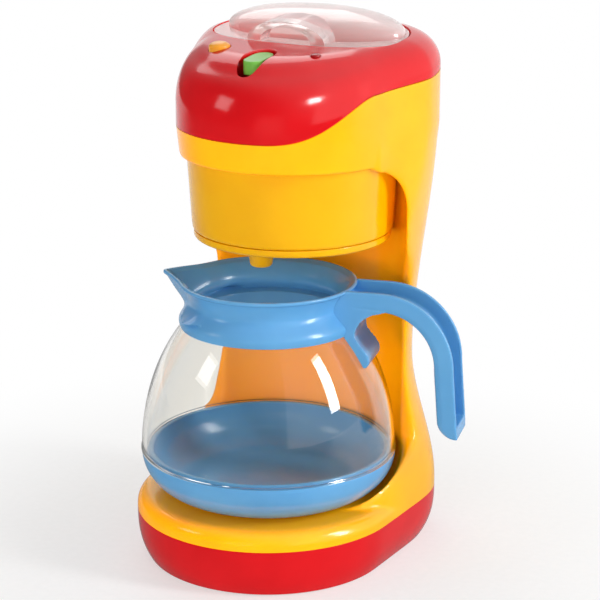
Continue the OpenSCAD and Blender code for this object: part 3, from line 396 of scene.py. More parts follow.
# %% Moulded ABS
def moulded_abs(name, chip, deep, rough=0.16, peel=0.10, glow=0.06, reach=(3.0, 1.5, 0.6)):
    """ABS: IOR 1.54. `glow` is how much of the light wanders inside the wall, and `reach` how far red,
    green and blue get in millimetres."""
    made, tree = finish(name)
    spot = put(tree, "ShaderNodeTexCoord").outputs["Object"]
    # The melt leaves a faint mottle about 26 mm across as it spreads from the gate
    flow = put(tree, "ShaderNodeTexNoise", [(spot, "Vector")], Scale=grain(26.3), Detail=3.0, Roughness=0.55)
    colour = put(tree, "ShaderNodeValToRGB", [(flow.outputs["Fac"], "Fac")],
                 [(0.32, linear(deep)), (0.62, linear(chip))])
    # Orange peel is 1 to 3 mm across. It is drawn 5 mm across, so that it shows
    swell = put(tree, "ShaderNodeTexNoise", [(spot, "Vector")], Scale=grain(5.26), Detail=1.0)
    bump = put(tree, "ShaderNodeBump", [(swell.outputs["Fac"], "Height")], Strength=peel, Distance=0.0002)
    # Handling leaves scuffs of 0.1 mm. They are drawn 0.4 mm across, so that they show
    scuff = put(tree, "ShaderNodeTexNoise", [(spot, "Vector")], Scale=grain(0.385), Detail=2.0)
    wear = put(tree, "ShaderNodeMapRange", [(scuff.outputs["Fac"], "Value")],
               From__Min=0.3, From__Max=0.7, To__Min=rough - 0.03, To__Max=rough + 0.05)
    skin = put(tree, "ShaderNodeBsdfPrincipled",
               [(colour.outputs["Color"], "Base Color"), (wear.outputs["Result"], "Roughness"),
                (bump.outputs["Normal"], "Normal")],
               IOR=1.54, Subsurface__Weight=glow, Subsurface__Radius=reach, Subsurface__Scale=MM)
    put(tree, "ShaderNodeOutputMaterial", [(skin.outputs["BSDF"], "Surface")])
    return made


red_abs = moulded_abs("red_moulded_abs", "#E20F19", "#DA0B15", rough=0.12)
yellow_abs = moulded_abs("yellow_moulded_abs", "#FEBC04", "#FCB402")
blue_abs = moulded_abs("sky_blue_moulded_abs", "#67ACE1", "#5FA4DB", rough=0.2)
amber_abs = moulded_abs("amber_moulded_abs", "#FBB03A", "#F8A52A", rough=0.22)
green_abs = moulded_abs("green_satin_abs", "#7FCB57", "#74C04C", rough=0.3, peel=0.2)
print("moulded colours: red, yellow, sky blue, amber, green")

# %% [markdown]
# ## Clear plastics
# The globe is polystyrene: IOR 1.59, no colour of its own in a thin wall, with faint flow swirls that bend
# what is seen through it. The lid is the same plastic with a milky haze, and the lamp's lens is dyed red.
# A thin clear wall lets nearly all light through to what it holds. The solver doesn't bend light on its way
# to a lamp, so for shadow rays the wall turns to a plain see-through skin, and the inside isn't left dark.

# %% Polystyrene and the lens
def clear_plastic(name, chip, rough, swirl, clear=1.0, passing="#FBFAF8"):
    """`clear` is the share that light passes through, and `passing` the colour that shadow rays keep."""
    made, tree = finish(name)
    spot = put(tree, "ShaderNodeTexCoord").outputs["Object"]
    # Flow swirls about 22 mm across, and scuffs of 1 mm
    flow = put(tree, "ShaderNodeTexNoise", [(spot, "Vector")], Scale=grain(22.2), Detail=1.0)
    bump = put(tree, "ShaderNodeBump", [(flow.outputs["Fac"], "Height")], Strength=swirl, Distance=0.0006)
    scuff = put(tree, "ShaderNodeTexNoise", [(spot, "Vector")], Scale=grain(1.11), Detail=3.0)
    haze = put(tree, "ShaderNodeMapRange", [(scuff.outputs["Fac"], "Value")],
               From__Min=0.35, From__Max=0.75, To__Min=rough, To__Max=rough + 0.04)
    skin = put(tree, "ShaderNodeBsdfPrincipled",
               [(haze.outputs["Result"], "Roughness"), (bump.outputs["Normal"], "Normal")],
               IOR=1.59, Base__Color=linear(chip), Transmission__Weight=clear)
    rays = put(tree, "ShaderNodeLightPath").outputs
    passes = put(tree, "ShaderNodeMath", [(rays["Is Shadow Ray"], 0), (rays["Is Diffuse Ray"], 1)],
                 operation="MAXIMUM")
    through = put(tree, "ShaderNodeBsdfTransparent", Color=linear(passing))
    both = put(tree, "ShaderNodeMixShader",
               [(passes.outputs[0], 0), (skin.outputs["BSDF"], 1), (through.outputs[0], 2)])
    put(tree, "ShaderNodeOutputMaterial", [(both.outputs[0], "Surface")])
    return made


clear_ps = clear_plastic("clear_polystyrene", "#FCFAF5", 0.0, 0.10)
lid_ps = clear_plastic("hazy_clear_polystyrene", "#FFF7F6", 0.12, 0.15, 0.72, "#FFFAF9")
lamp_lens = clear_plastic("red_dyed_acrylic", "#C8101A", 0.08, 0.1, 0.4, "#C84048")
print("clear plastics: globe, lid, lens")

# %% [markdown]
# ## Metals and inner pieces
# Screws, pins, the spring and the contacts are zinc-plated steel. Plating over drawn wire and turned stock
# gives the eye a pale grey shine with a fine lengthwise grain. The hidden pieces get the plain finishes that
# such toys have inside.

# %% Steel, board, cells
def plated_steel(name):
    made, tree = finish(name)
    spot = put(tree, "ShaderNodeTexCoord").outputs["Object"]
    stretch = put(tree, "ShaderNodeMapping", [(spot, "Vector")], Scale=(1.0, 1.0, 0.12))
    # Drawing marks are 0.02 mm wide. They are drawn 0.2 mm wide, so that they show
    marks = put(tree, "ShaderNodeTexNoise", [(stretch.outputs["Vector"], "Vector")],
                Scale=grain(0.192), Detail=2.0)
    tone = put(tree, "ShaderNodeValToRGB", [(marks.outputs["Fac"], "Fac")],
               [(0.35, linear("#B4B8BC")), (0.65, linear("#D2D5D8"))])
    rub = put(tree, "ShaderNodeMapRange", [(marks.outputs["Fac"], "Value")], To__Min=0.22, To__Max=0.42)
    skin = put(tree, "ShaderNodeBsdfPrincipled",
               [(tone.outputs["Color"], "Base Color"), (rub.outputs["Result"], "Roughness")], Metallic=1.0)
    put(tree, "ShaderNodeOutputMaterial", [(skin.outputs["BSDF"], "Surface")])
    return made


def inner_finish(name, chip, deep, rough, speck_size):
    """A plain finish with specks of a size in mm: laminate weave, nylon grain, film print, coat texture."""
    made, tree = finish(name)
    spot = put(tree, "ShaderNodeTexCoord").outputs["Object"]
    speck = put(tree, "ShaderNodeTexNoise", [(spot, "Vector")], Scale=grain(speck_size), Detail=4.0)
    colour = put(tree, "ShaderNodeValToRGB", [(speck.outputs["Fac"], "Fac")],
                 [(0.4, linear(deep)), (0.6, linear(chip))])
    bump = put(tree, "ShaderNodeBump", [(speck.outputs["Fac"], "Height")], Strength=0.2, Distance=0.0001)
    skin = put(tree, "ShaderNodeBsdfPrincipled",
               [(colour.outputs["Color"], "Base Color"), (bump.outputs["Normal"], "Normal")],
               Roughness=rough, IOR=1.5)
    put(tree, "ShaderNodeOutputMaterial", [(skin.outputs["BSDF"], "Surface")])
    return made


steel = plated_steel("zinc_plated_steel")
board_laminate = inner_finish("green_board_laminate", "#2E8B57", "#1F6B40", 0.45, 1.43)
black_nylon = inner_finish("black_moulded_nylon", "#1A1A1C", "#121214", 0.5, 0.67)
cell_sleeve = inner_finish("dry_cell_film_sleeve", "#46545F", "#3A4650", 0.3, 16.7)
speaker_coat = inner_finish("black_coated_speaker_frame", "#2A2C30", "#1E2024", 0.55, 0.455)
print("inner finishes: steel, board, nylon, cell sleeve, speaker coat")

# %% [markdown]
# ## Finishes on the carried-over pieces
# Screws, pins, the board, the cells and the tank keep the mesh that the CAD cuts exactly, and only get a
# finish. Every node is dressed here, from its material slot in the record.

# %% Dress the CAD nodes
CRISP = math.radians(32)
SLOT_FINISH = {"red_abs": red_abs, "yellow_abs": yellow_abs, "blue_pp": blue_abs, "clear_ps": clear_ps,
               "lid_pc": lid_ps, "orange_abs": amber_abs, "green_abs": green_abs,
               "lamp_red": lamp_lens, "steel": steel, "board": board_laminate, "black_plastic": black_nylon,
               "cell_wrap": cell_sleeve, "speaker_frame": speaker_coat}
for row in frame["record"]["subparts"]:
    thing = frame["nodes"][row["node"]]
    thing.data.materials.clear()
    thing.data.materials.append(SLOT_FINISH[row["material_slot"]])
    thing.data.polygons.foreach_set("use_smooth", [True] * len(thing.data.polygons))
    thing.data.set_sharp_from_angle(angle=CRISP)

# %% [markdown]
# ## Hood
# The hood is one deep red moulding. Its skin runs straight up from the wavy colour seam, rolls over through a
# quarter ellipse, long at the nose and tight at the back, and ends in a flat top that climbs to the rear. A
# shallow valley near the top of the nose sets its lobe off from the flat.
# Each point of the plan gets its own little side view from seam to top, spaced evenly along it, so that the
# quads stay regular. The recess, the rocker's well and the holes are cut with tools whose rims flare, which
# leaves the small rounded edges that a mould gives.

# %% Hood skin
VALLEY_DEEP, VALLEY_AT, VALLEY_WIDE = 0.8, 56, 10


def nose(y):
    """1 at the front of the hood, 0 at its back."""
    return smooth((30 - y) / 58)


def hood_rings(gap, count=320, rows=46, start=None):
    """Rings from the seam to the top. `gap` draws the skin inwards, and `start` gives a level foot."""
    outer, inner = head_plan(gap, count), head_plan(gap + NOSE_REACH, 4 * count)
    # Each outer point rolls towards the nearest place on the inner plan
    lines = []
    for x, y in outer:
        k = int(np.argmin((inner[:, 0] - x) ** 2 + (inner[:, 1] - y) ** 2))
        reach = (inner[k] - (x, y)) / NOSE_REACH
        deep, high = mix(EDGE_ROUND, NOSE_REACH, nose(y)), mix(EDGE_ROUND, NOSE_H, nose(y))
        low = seam(x, y) + 0.05 if start is None else start
        line = [(x, y, low)]
        for a in np.radians(np.linspace(0, 90, 60)):
            valley = VALLEY_DEEP * nose(y) * math.exp(-((math.degrees(a) - VALLEY_AT) / VALLEY_WIDE) ** 2)
            inward = deep * (1 - math.cos(a)) + valley * math.cos(a)
            px, py = x + reach[0] * inward, y + reach[1] * inward
            z = top_at(py) - gap - high * (1 - math.sin(a)) - valley * math.sin(a)
            if z > low + 0.05:
                line.append((px, py, z))
        line = np.array(line)
        s = np.concatenate([[0], np.cumsum(np.linalg.norm(np.diff(line, axis=0), axis=1))])
        t = np.linspace(0, s[-1], rows)
        lines.append(np.column_stack([np.interp(t, s, line[:, c]) for c in range(3)]))
    rings = [np.array([line[j] for line in lines]) for j in range(rows)]
    last = rings[-1]
    middle = np.array([0.0, LOBE_Y + 8])
    for k in (0.8, 0.55, 0.3):
        plan = middle + (last[:, :2] - middle) * k
        rings.append(lifted(plan, [top_at(y) - gap for x, y in plan]))
    return rings


def ring_in(ring, inset, drop):
    """The ring moved in and down a little, for the small round at an edge."""
    ahead, behind = np.roll(ring, -1, axis=0), np.roll(ring, 1, axis=0)
    along = (ahead - behind)[:, :2]
    along /= np.linalg.norm(along, axis=1)[:, None]
    out = ring.copy()
    out[:, 0] -= along[:, 1] * inset
    out[:, 1] += along[:, 0] * inset
    out[:, 2] += drop
    return out


outside = hood_rings(0)
inside = hood_rings(WALL, rows=24)
outside[0] = outside[0] + (0, 0, 0.45)
foot = [ring_in(outside[0], 0.35, -0.4), ring_in(outside[0], 0.1, -0.28)]
hood = make("hood_moulding", [loft(list(reversed(inside)) + foot + outside)])
print("hood:", len(hood.data.polygons), "faces before its cuts")

# %% Recess, well and holes
RECESS_W, RECESS_FRONT, RECESS_BACK, RECESS_MID, LEDGE = 88.0, 13.4, 66.4, 35.5, 3.2
WELL_Y, WELL_L, WELL_W = 8.2, 22.0, 11.6
WELL_FLOOR = HOOD_Z - 10.4
CONTROL_X, BUTTON_R, LAMP_R = 22.6, 4.5, 2.1


def tilted(rings):
    """Rings drawn on a level top, laid on the hood's sloping one."""
    a = math.atan(TOP_SLOPE)
    return [np.column_stack([r[:, 0], r[:, 1] * math.cos(a) - r[:, 2] * math.sin(a),
                             HOOD_Z + r[:, 1] * math.sin(a) + r[:, 2] * math.cos(a)])
            for r in (np.asarray(ring, float) for ring in rings)]


def recess_plan(inset, count=240):
    w = RECESS_W / 2 - inset
    return even(super_arc(w, RECESS_MID - RECESS_FRONT - inset, 2.7, RECESS_MID, 180, 360, 181)[:-1]
                + super_arc(w, RECESS_BACK - RECESS_MID - inset, 2.05, RECESS_MID, 0, 180, 181)[:-1], count)


def flare(plan_of, depth, lip, top=4.0):
    """Rings of a cutter that is straight below and opens in a quarter round at the skin."""
    rings = [lifted(plan_of(0), -depth), lifted(plan_of(0), -lip)]
    for a in np.radians((18, 36, 54, 72, 90)):
        rings.append(lifted(plan_of(-lip * (1 - math.cos(a))), -lip * (1 - math.sin(a))))
    return rings + [lifted(plan_of(-lip), top)]


cut(hood, make("tool", [loft(tilted(flare(recess_plan, LEDGE, 0.7)))]))


def well_plan(grow, count=96):
    return even(super_arc(WELL_W / 2 + grow, WELL_L / 2 + grow, 2.3, -WELL_Y, 0, 357, 120), count)


def on_slope(rings):
    return [np.column_stack([r[:, 0], r[:, 1], r[:, 2] + [top_at(y) for y in r[:, 1]]]) for r in rings]


def round_hole(x, r):
    return lambda inset: np.array(round_arc(r - inset, 0, 0, 352.5, 48)) + (x, 0)


cut(hood, make("tool", [loft(on_slope(flare(lambda inset: well_plan(-inset), 12.0, 0.8)))]))
cut(hood, make("tool", [loft(on_slope(flare(round_hole(-CONTROL_X, BUTTON_R + 0.25), 12.0, 0.3)))]))
cut(hood, make("tool", [loft(on_slope(flare(round_hole(CONTROL_X, LAMP_R + 0.12), 12.0, 0.25)))]))
print("hood:", len(hood.data.polygons), "faces after its cuts")

# %% [markdown]
# Under the skin the well has its own walls and floor, and the recess a ledge that the tank hangs on. Behind
# the tank two ears hold the lid's pin. They are thin closed solids inside the same moulding, made by lofting
# and cutting, and joined to it as loose shells, since nobody sees where they meet.

# %% Well cup and recess ledge
CUP_WALL, CUP_TOP = 1.4, HOOD_Z - 2.6
cup_out = [lifted(well_plan(CUP_WALL), WELL_FLOOR - CUP_WALL), lifted(well_plan(CUP_WALL), CUP_TOP)]
cup_in = [lifted(well_plan(0.02), CUP_TOP), lifted(well_plan(0.02), WELL_FLOOR)]
cup = make("cup", [loft(cup_out + cup_in)])
cut(cup, make("tool", [loft(hood_rings(0.9, rows=24, start=SEAM_Z - 2))]), "INTERSECT")
cut(cup, make("tool", [block(-2.4, 2.4, -12.6, -7.8, WELL_FLOOR - 3, WELL_FLOOR + 2)]))
ledge_rings = tilted([lifted(recess_plan(-1.5), -1.6), lifted(recess_plan(-1.5), -LEDGE - 1.8),
                      lifted(recess_plan(3), -LEDGE - 1.8), lifted(recess_plan(3), -LEDGE),
                      lifted(recess_plan(0.02), -LEDGE), lifted(recess_plan(0.02), -1.6)])
ledge = make("ledge", [loft(ledge_rings, hoop=True)])
print("cup and ledge:", len(cup.data.polygons), "and", len(ledge.data.polygons), "faces")

# %% Ears for the lid's pin
def lay_on_top(y, up):
    a = math.atan(TOP_SLOPE)
    return y * math.cos(a) - up * math.sin(a), HOOD_Z + y * math.sin(a) + up * math.cos(a)


HINGE_Y, HINGE_UP, HINGE_R, EAR_X = RECESS_BACK - 4, 0.2, 1.2, 8
hinge_at = lay_on_top(HINGE_Y, HINGE_UP)
ears = []
for s in (-1, 1):
    ear = make("ear", [rod(HINGE_R + 1.2, hinge_at, s * EAR_X - 1.5, s * EAR_X + 1.5, "x")])
    outline = [lay_on_top(HINGE_Y - 2.4, -LEDGE - 0.3), lay_on_top(RECESS_BACK, -LEDGE - 0.3),
               lay_on_top(RECESS_BACK, HINGE_UP), lay_on_top(HINGE_Y - 2.4, HINGE_UP)]
    cut(ear, make("tool", [prism(outline, s * EAR_X - 1.5, s * EAR_X + 1.5)]), "UNION")
    cut(ear, make("tool", [rod(HINGE_R + 0.06, hinge_at, -30, 30, "x")]))
    ears.append(ear)


def join(piece, others):
    """Adds the meshes of others to the piece, as loose shells of one object."""
    bm = bmesh.new()
    bm.from_mesh(piece.data)
    for other in others:
        bm.from_mesh(other.data)
        bpy.data.objects.remove(other)
    bm.to_mesh(piece.data)
    bm.free()
    return piece


join(hood, [cup, ledge] + ears)
shade(hood)
place(hood, red_abs, "machine", "red_abs", "hood")

# %% [markdown]
# ## Yellow housing
# On the real toy the base plate, the column and the head band are one moulding, with a round hollow where the
# carafe stands. Three lofted solids are joined, the hollow is cut out of them, and the result is remeshed and
# relaxed, which rounds the wing edges and the arch as the mould does. The seams are cut after that, so that
# they stay crisp.

# %% Plan of the column at each height
def low_flare(z):
    """1 at the foot of the column, 0 at its waist."""
    return smooth((WAIST_Z - z) / (WAIST_Z - TUB_H - 3))


def high_flare(z):
    """0 at the waist of the column, 1 where it meets the head."""
    return smooth((z - WAIST_Z) / (BAND_Z + 19 - WAIST_Z))


def head_half(y):
    """Half the width of the head at y."""
    a = math.radians(LEAVE)
    start = LOBE_Y - LOBE_R * math.sin(a)
    x1, y1 = back_start(0)
    if y < start:
        return math.sqrt(max(LOBE_R**2 - (y - LOBE_Y) ** 2, 0))
    return mix(LOBE_R * math.cos(a), x1, smooth((y - start) / (y1 - start)))


def column_plan(z, inset, count=240):
    lo, hi = low_flare(z), high_flare(z)
    w = WAIST_W / 2 + (BASE_W - WAIST_W) / 2 * lo + (HEAD_W - WAIST_W) / 2 * hi - inset
    b = WAIST_BACK + (BASE_BACK - WAIST_BACK) * lo + (HEAD_BACK - WAIST_BACK) * hi - PLAN_Y - inset
    n = WAIST_SQUARE + (BASE_SQUARE - WAIST_SQUARE) * lo + (HEAD_SQUARE - WAIST_SQUARE) * hi
    f = 22 + 18 * smooth((PLATE_Z + 24 - z) / 22) - inset
    k = smooth((z - BAND_Z + 34) / 34)
    points = []
    for x, y in super_arc(w, f, n, PLAN_Y, 180, 360, 181)[:-1] + super_arc(w, b, n, PLAN_Y, 0, 180, 181)[:-1]:
        if y <= back_start(0)[1]:
            x = math.copysign(mix(abs(x), min(abs(x), max(head_half(y) - inset, 1.0)), k), x)
        points.append((x, y))
    return even(points, count)


print("column plan at its waist:", len(column_plan(WAIST_Z, 0)), "points")

# %% Plate, column and band
WING_Y, PLATE_ROUND = 34.6, 6


def wing_front(z):
    """How far forward the column's wings reach. They sweep out to the plate below and the band above."""
    if z > WAIST_Z:
        return WING_Y - 16 * smooth((z - WAIST_Z - 34) / 32)
    return WING_Y - 50 * smooth((PLATE_Z + 22 - z) / 24)


def plate_skin(inset, low, high):
    rings = [lifted(foot_plan(inset), low)]
    for a in np.radians(np.linspace(0, 90, 10)):
        rings.append(lifted(foot_plan(inset + PLATE_ROUND * (1 - math.cos(a))),
                            high - PLATE_ROUND * (1 - math.sin(a))))
    return make("plate", [loft(rings)])


def column_skin(inset, low, high, rows=60, tip=0.0):
    rings = [lifted(column_plan(z, inset), z) for z in np.linspace(low, high, rows)]
    column = make("column", [loft(rings)])
    front = [(-80, TUB_H - 2)]
    front += [(wing_front(z) + inset + tip, z) for z in np.linspace(PLATE_Z - 3, BAND_Z - 18, 60)]
    return cut(column, make("tool", [prism(front + [(-80, BAND_Z - 18)], -100, 100)]))


def band_skin(inset, low, high):
    return make("band", [loft([lifted(head_plan(inset + BAND_DRAFT), low), lifted(head_plan(inset), SEAM_Z),
                               lifted(head_plan(inset), high)])])


housing = plate_skin(0, 12, PLATE_Z)
cut(housing, column_skin(0, 14, BAND_Z + 46), "UNION")
cut(housing, band_skin(0, BAND_Z, BAND_Z + 46), "UNION")
print("housing, joined:", len(housing.data.polygons), "faces")

# %% Round hollow for the carafe
# The hollow is drawn a little tighter than the swept room it needs, so that the wings have body to roll over
WING_BODY, ROLL_D, ROLL_H, BAY_FOOT, BAY_FOOT_H = 1.2, 18.0, 19.0, 18, 20


def bay_tool(grow):
    r, top, low = BAY_R - WING_BODY + grow, BAND_Z + grow, PLATE_Z - grow
    profile = [(0, low)]
    for a in np.radians(np.linspace(0, 90, 19)):
        profile.append((r - BAY_FOOT + BAY_FOOT * math.sin(a), low + BAY_FOOT_H - BAY_FOOT_H * math.cos(a)))
    for a in np.radians(np.linspace(0, 90, 19)):
        profile.append((r - ROLL_D + ROLL_D * math.cos(a), top - ROLL_H + ROLL_H * math.sin(a)))
    return make("bay", [revolve(profile + [(0, top)], 240)])


cut(housing, bay_tool(0))
print("housing before softening:", len(housing.data.polygons))

# %% Soft edges
soften(housing, 0.8, 8)
# The wings and the arch roll over far more broadly than the other edges
wing = housing.vertex_groups.new(name="wing")
for v in housing.data.vertices:
    y, z = v.co.y / MM, v.co.z / MM
    share = smooth((y - 4) / 14) * smooth((z - PLATE_Z - 6) / 14) * smooth((BAND_Z + 12 - z) / 12)
    if share > 0 and y < 48:
        wing.add([v.index], share, "REPLACE")
roll = housing.modifiers.new("roll", "SMOOTH")
roll.factor, roll.iterations, roll.vertex_group = 0.5, 60, "wing"
applied(housing)
housing.vertex_groups.clear()
print("housing after softening:", len(housing.data.polygons))

# %% [markdown]
# A moulding is a thin wall, so the same three solids, drawn in by the wall, are taken out of the inside. The
# seam to the hood, the seat on the tub, the basket's cone and the split between front and rear are cut last,
# with flat tools, because a softened edge would spoil a seam.

# %% Inside of the housing
hollow = plate_skin(WALL, 5, PLATE_Z - WALL)
cut(hollow, column_skin(WALL, 6, BAND_Z + 50, 30, 6.0), "UNION")
cut(hollow, band_skin(WALL, BAND_Z + WALL, BAND_Z + 50), "UNION")
cut(hollow, bay_tool(WALL))
cut(housing, hollow)
print("housing, hollow:", len(housing.data.polygons), "faces")

# %% Seams and the basket's seat
BASKET_Y, BASKET_Z, BASKET_H = LOBE_Y + 0.5, BAND_Z - 32.0, 32.0
BASKET_LOW_R, BASKET_TOP_R, DISC_T = 42.4, 44.4, 3.2
FLOOR_Z = BASKET_Z - DISC_T


def seam_tool(gap):
    """Everything above the wavy seam."""
    ys = np.linspace(-80, 90, 171)
    rings = []
    for x in [-100, *np.linspace(-3.2, 3.2, 9), 100]:
        edge = [(x, y, seam(x, y) + gap) for y in ys]
        rings.append(edge + [(x, 90, HOOD_Z + 60), (x, -80, HOOD_Z + 60)])
    return make("seam", [loft(rings)])


def basket_r(z):
    return mix(BASKET_LOW_R, BASKET_TOP_R, (z - BASKET_Z) / BASKET_H)


cut(housing, seam_tool(-0.05))
cut(housing, make("tool", [block(-90, 90, -90, 90, 0, TUB_H + 0.1)]))
cone = [(0, FLOOR_Z - 0.1), (basket_r(FLOOR_Z) + SEAT, FLOOR_Z - 0.1),
        (basket_r(BAND_Z + WALL + 1) + SEAT, BAND_Z + WALL + 1), (0, BAND_Z + WALL + 1)]
cut(housing, make("tool", [revolve(cone, 288, (0, BASKET_Y))]))
print("housing with its seams:", len(housing.data.polygons), "faces")

# %% Front housing and rear cover
COVER_Y = 62.0
cover = housing.copy()
cover.data = housing.data.copy()
cover.name = "rear_cover_moulding"
scene.collection.objects.link(cover)
cut(housing, make("tool", [block(-90, 90, COVER_Y - 0.05, 120, 0, 300)]))
cut(cover, make("tool", [block(-90, 90, -120, COVER_Y + 0.05, 0, 300)]))
housing.name = "front_housing_moulding"
for piece, node in ((housing, "front_housing"), (cover, "rear_cover")):
    shade(piece)
    place(piece, yellow_abs, "machine", "yellow_abs", node)

# %% [markdown]
# ## Tub
# The red tub under the plate draws in towards the table. Its floor has a battery door, a round grille for the
# speaker and four sunk screws. It is lofted from the base's plan with a power law for the draw, and its holes
# are cut one by one, as the pins of the tool make them.

# %% Tub
def tub_rings(inset, low, high, rows=26):
    rings = []
    for t in np.linspace(0, 1, rows):
        z = low + (high - low) * t**1.6
        rings.append(lifted(foot_plan(inset + TUB_TAPER * (1 - z / TUB_H) ** TUB_CURVE), z))
    return rings


tub_out = tub_rings(0, 0, TUB_H)
edge_in = [ring_in(tub_out[-1], 0.1, 0.0), ring_in(tub_out[-1], 0.4, 0.0)]
tub_out[-1] = tub_out[-1] + (0, 0, -0.35)
edge_in[0] = edge_in[0] + (0, 0, -0.12)
tub_bottom = [ring_in(tub_out[0], 1.0, 0.0)]
tub_out[0] = tub_out[0] + (0, 0, 0.5)
tub_out = [r for k, r in enumerate(tub_out) if k == 0 or r[0, 2] > tub_out[0][0, 2] + 0.05]
tub_in = list(reversed(tub_rings(WALL, WALL, TUB_H)))
tub = make("tub_moulding", [loft(tub_bottom + tub_out + edge_in + tub_in)])
print("tub:", len(tub.data.polygons), "faces before its holes")

# %% Holes in the tub's floor
DOOR_L, DOOR_W, DOOR_Y, GRILLE_Y, GRILLE_STEP = 62.0, 36.0, 22.0, -26.0, 4.4
SCREW_HEAD_R, SCREW_R, GRILLE_R = 2.7, 1.5, 1.1
cut(tub, make("tool", [block(-DOOR_L / 2, DOOR_L / 2, DOOR_Y - DOOR_W / 2, DOOR_Y + DOOR_W / 2,
                             -1, WALL + 1)]))
for x, y in ((-40, -14), (40, -14), (-40, 44), (40, 44)):
    cut(tub, make("tool", [rod(SCREW_HEAD_R, (x, y), -1, 1.0)]))
    cut(tub, make("tool", [rod(SCREW_R, (x, y), -1, WALL + 1)]))
for ring in range(3):
    for i in range(max(ring * 6, 1)):
        a = math.radians(60 * i / max(ring, 1))
        hole = (ring * GRILLE_STEP * math.cos(a), GRILLE_Y + ring * GRILLE_STEP * math.sin(a))
        cut(tub, make("tool", [rod(GRILLE_R, hole, -1, WALL + 1, count=20)]))
shade(tub)
place(tub, red_abs, "machine", "red_abs", "base_tub")

# %% [markdown]
# ## Lid
# A domed clear lid lies in the hood's recess. Its flat flange rests on the tank's rim, the dome bulges out of
# it, and a half-oval arch in front is where a finger lifts it. The lid is one moulding of even wall, so its
# outer forms are joined first, and the inner dome and the opening under the arch are cut out of them.

# %% Dome, arch and flange
RIM_T, FLANGE_T, LID_GAP, LID_WALL = 1.1, 1.2, 0.6, 1.4
FLANGE_Z = -LEDGE + SEAT / 2 + RIM_T + 0.3
DOME_W, DOME_H, DOME_Y, DOME_POWER = 83.0, 9.8, 40.0, 2.3
DOME_FRONT, DOME_BACK = DOME_Y - RECESS_FRONT - 8.6, HINGE_Y - 2.4 - DOME_Y - 0.4
ARCH_W, ARCH_UP, ARCH_OPEN, ARCH_THICK = 36.6, 8.7, 6.3, 5.0


def dome_ring(t, a, count=200):
    """The ring at angle a up the side of the dome, drawn in by t."""
    k, up = power(math.cos(a), 2 / DOME_POWER), (DOME_H - t) * power(math.sin(a), 2 / DOME_POWER)
    out = []
    for f in np.linspace(0, 2 * math.pi, count, endpoint=False):
        deep = (DOME_BACK if f < math.pi else DOME_FRONT) - t
        out.append(((DOME_W / 2 - t) * k * math.cos(f), DOME_Y + deep * k * math.sin(f),
                    FLANGE_Z + FLANGE_T + up))
    return np.array(out)


def dome(t):
    first = dome_ring(t, 0)
    first[:, 2] = FLANGE_Z - (1 if t else 0)
    angles = np.radians([0, 3, 7, 12, 18, 25, 32, 40, 48, 56, 64, 72, 79, 84, 87, 89])
    return make("dome", [loft(tilted([first] + [dome_ring(t, a) for a in angles]))])


def half_oval(w, h, y0, y1, low, count=60):
    outline = [(w / 2 * math.cos(a), h * math.sin(a)) for a in np.linspace(0, math.pi, count)]
    outline += [(-w / 2, low), (w / 2, low)]
    return make("oval", [loft(tilted([[(x, y, z) for x, z in outline] for y in (y1, y0)]))])


def slab(inset, low, high):
    return make("slab", [loft(tilted([lifted(recess_plan(inset), low), lifted(recess_plan(inset), high)]))])


print("dome:", len(dome_ring(0, 0)), "points round it")

# %% Lid with its knuckles
KNUCKLE_X, KNUCKLE_R = 11.5, 2.2
ARCH_FRONT = RECESS_FRONT + LID_GAP
lid = half_oval(ARCH_W, ARCH_UP, ARCH_FRONT, ARCH_FRONT + 16, FLANGE_Z)
cut(lid, slab(LID_GAP, FLANGE_Z, 2 * ARCH_UP), "INTERSECT")
cut(lid, dome(0), "UNION")
flange = slab(LID_GAP, FLANGE_Z, FLANGE_Z + FLANGE_T)
back_edge = [lay_on_top(y, z) for y, z in ((HINGE_Y - 2.6, -6), (90, -6), (90, 30), (HINGE_Y - 2.6, 30))]
cut(flange, make("tool", [prism(back_edge, -60, 60)]))
cut(lid, flange, "UNION")
cut(lid, dome(LID_WALL))
cut(lid, half_oval(ARCH_W - 2 * ARCH_THICK - 2.8, ARCH_OPEN, ARCH_FRONT - 1, RECESS_FRONT + 8.6,
                   FLANGE_Z + FLANGE_T))
for s in (-1, 1):
    ends = s * KNUCKLE_X - 1.5, s * KNUCKLE_X + 1.5
    knuckle = make("knuckle", [rod(KNUCKLE_R, hinge_at, *ends, "x")])
    arm = [lay_on_top(HINGE_Y - 3.6, FLANGE_Z), lay_on_top(HINGE_Y, FLANGE_Z),
           lay_on_top(HINGE_Y, FLANGE_Z + FLANGE_T), lay_on_top(HINGE_Y - 3.6, FLANGE_Z + FLANGE_T)]
    cut(knuckle, make("tool", [prism(arm, *ends)]), "UNION")
    cut(knuckle, make("tool", [rod(HINGE_R + 0.06, hinge_at, -30, 30, "x")]))
    cut(lid, knuckle, "UNION")
lid.name = "tank_lid_moulding"
shade(lid)
place(lid, lid_ps, "lid", "lid_pc", "tank_lid")

# %% [markdown]
# ## Brew basket
# The basket is a tub that hangs from the band, with a floor disc below and the drip nozzle in it. Round
# pieces could be cut from cylinders, but a lathe profile takes the small rounds where the mould has them.

# %% Basket
def turned(name, profile, centre, count=288):
    return make(name, [revolve(profile, count, centre)])


def corner(r, z, radius, start, stop, count=7):
    """Points of a small round about (r, z)."""
    turn = np.radians(np.linspace(start, stop, count))
    return [(r + radius * math.cos(a), z + radius * math.sin(a)) for a in turn]


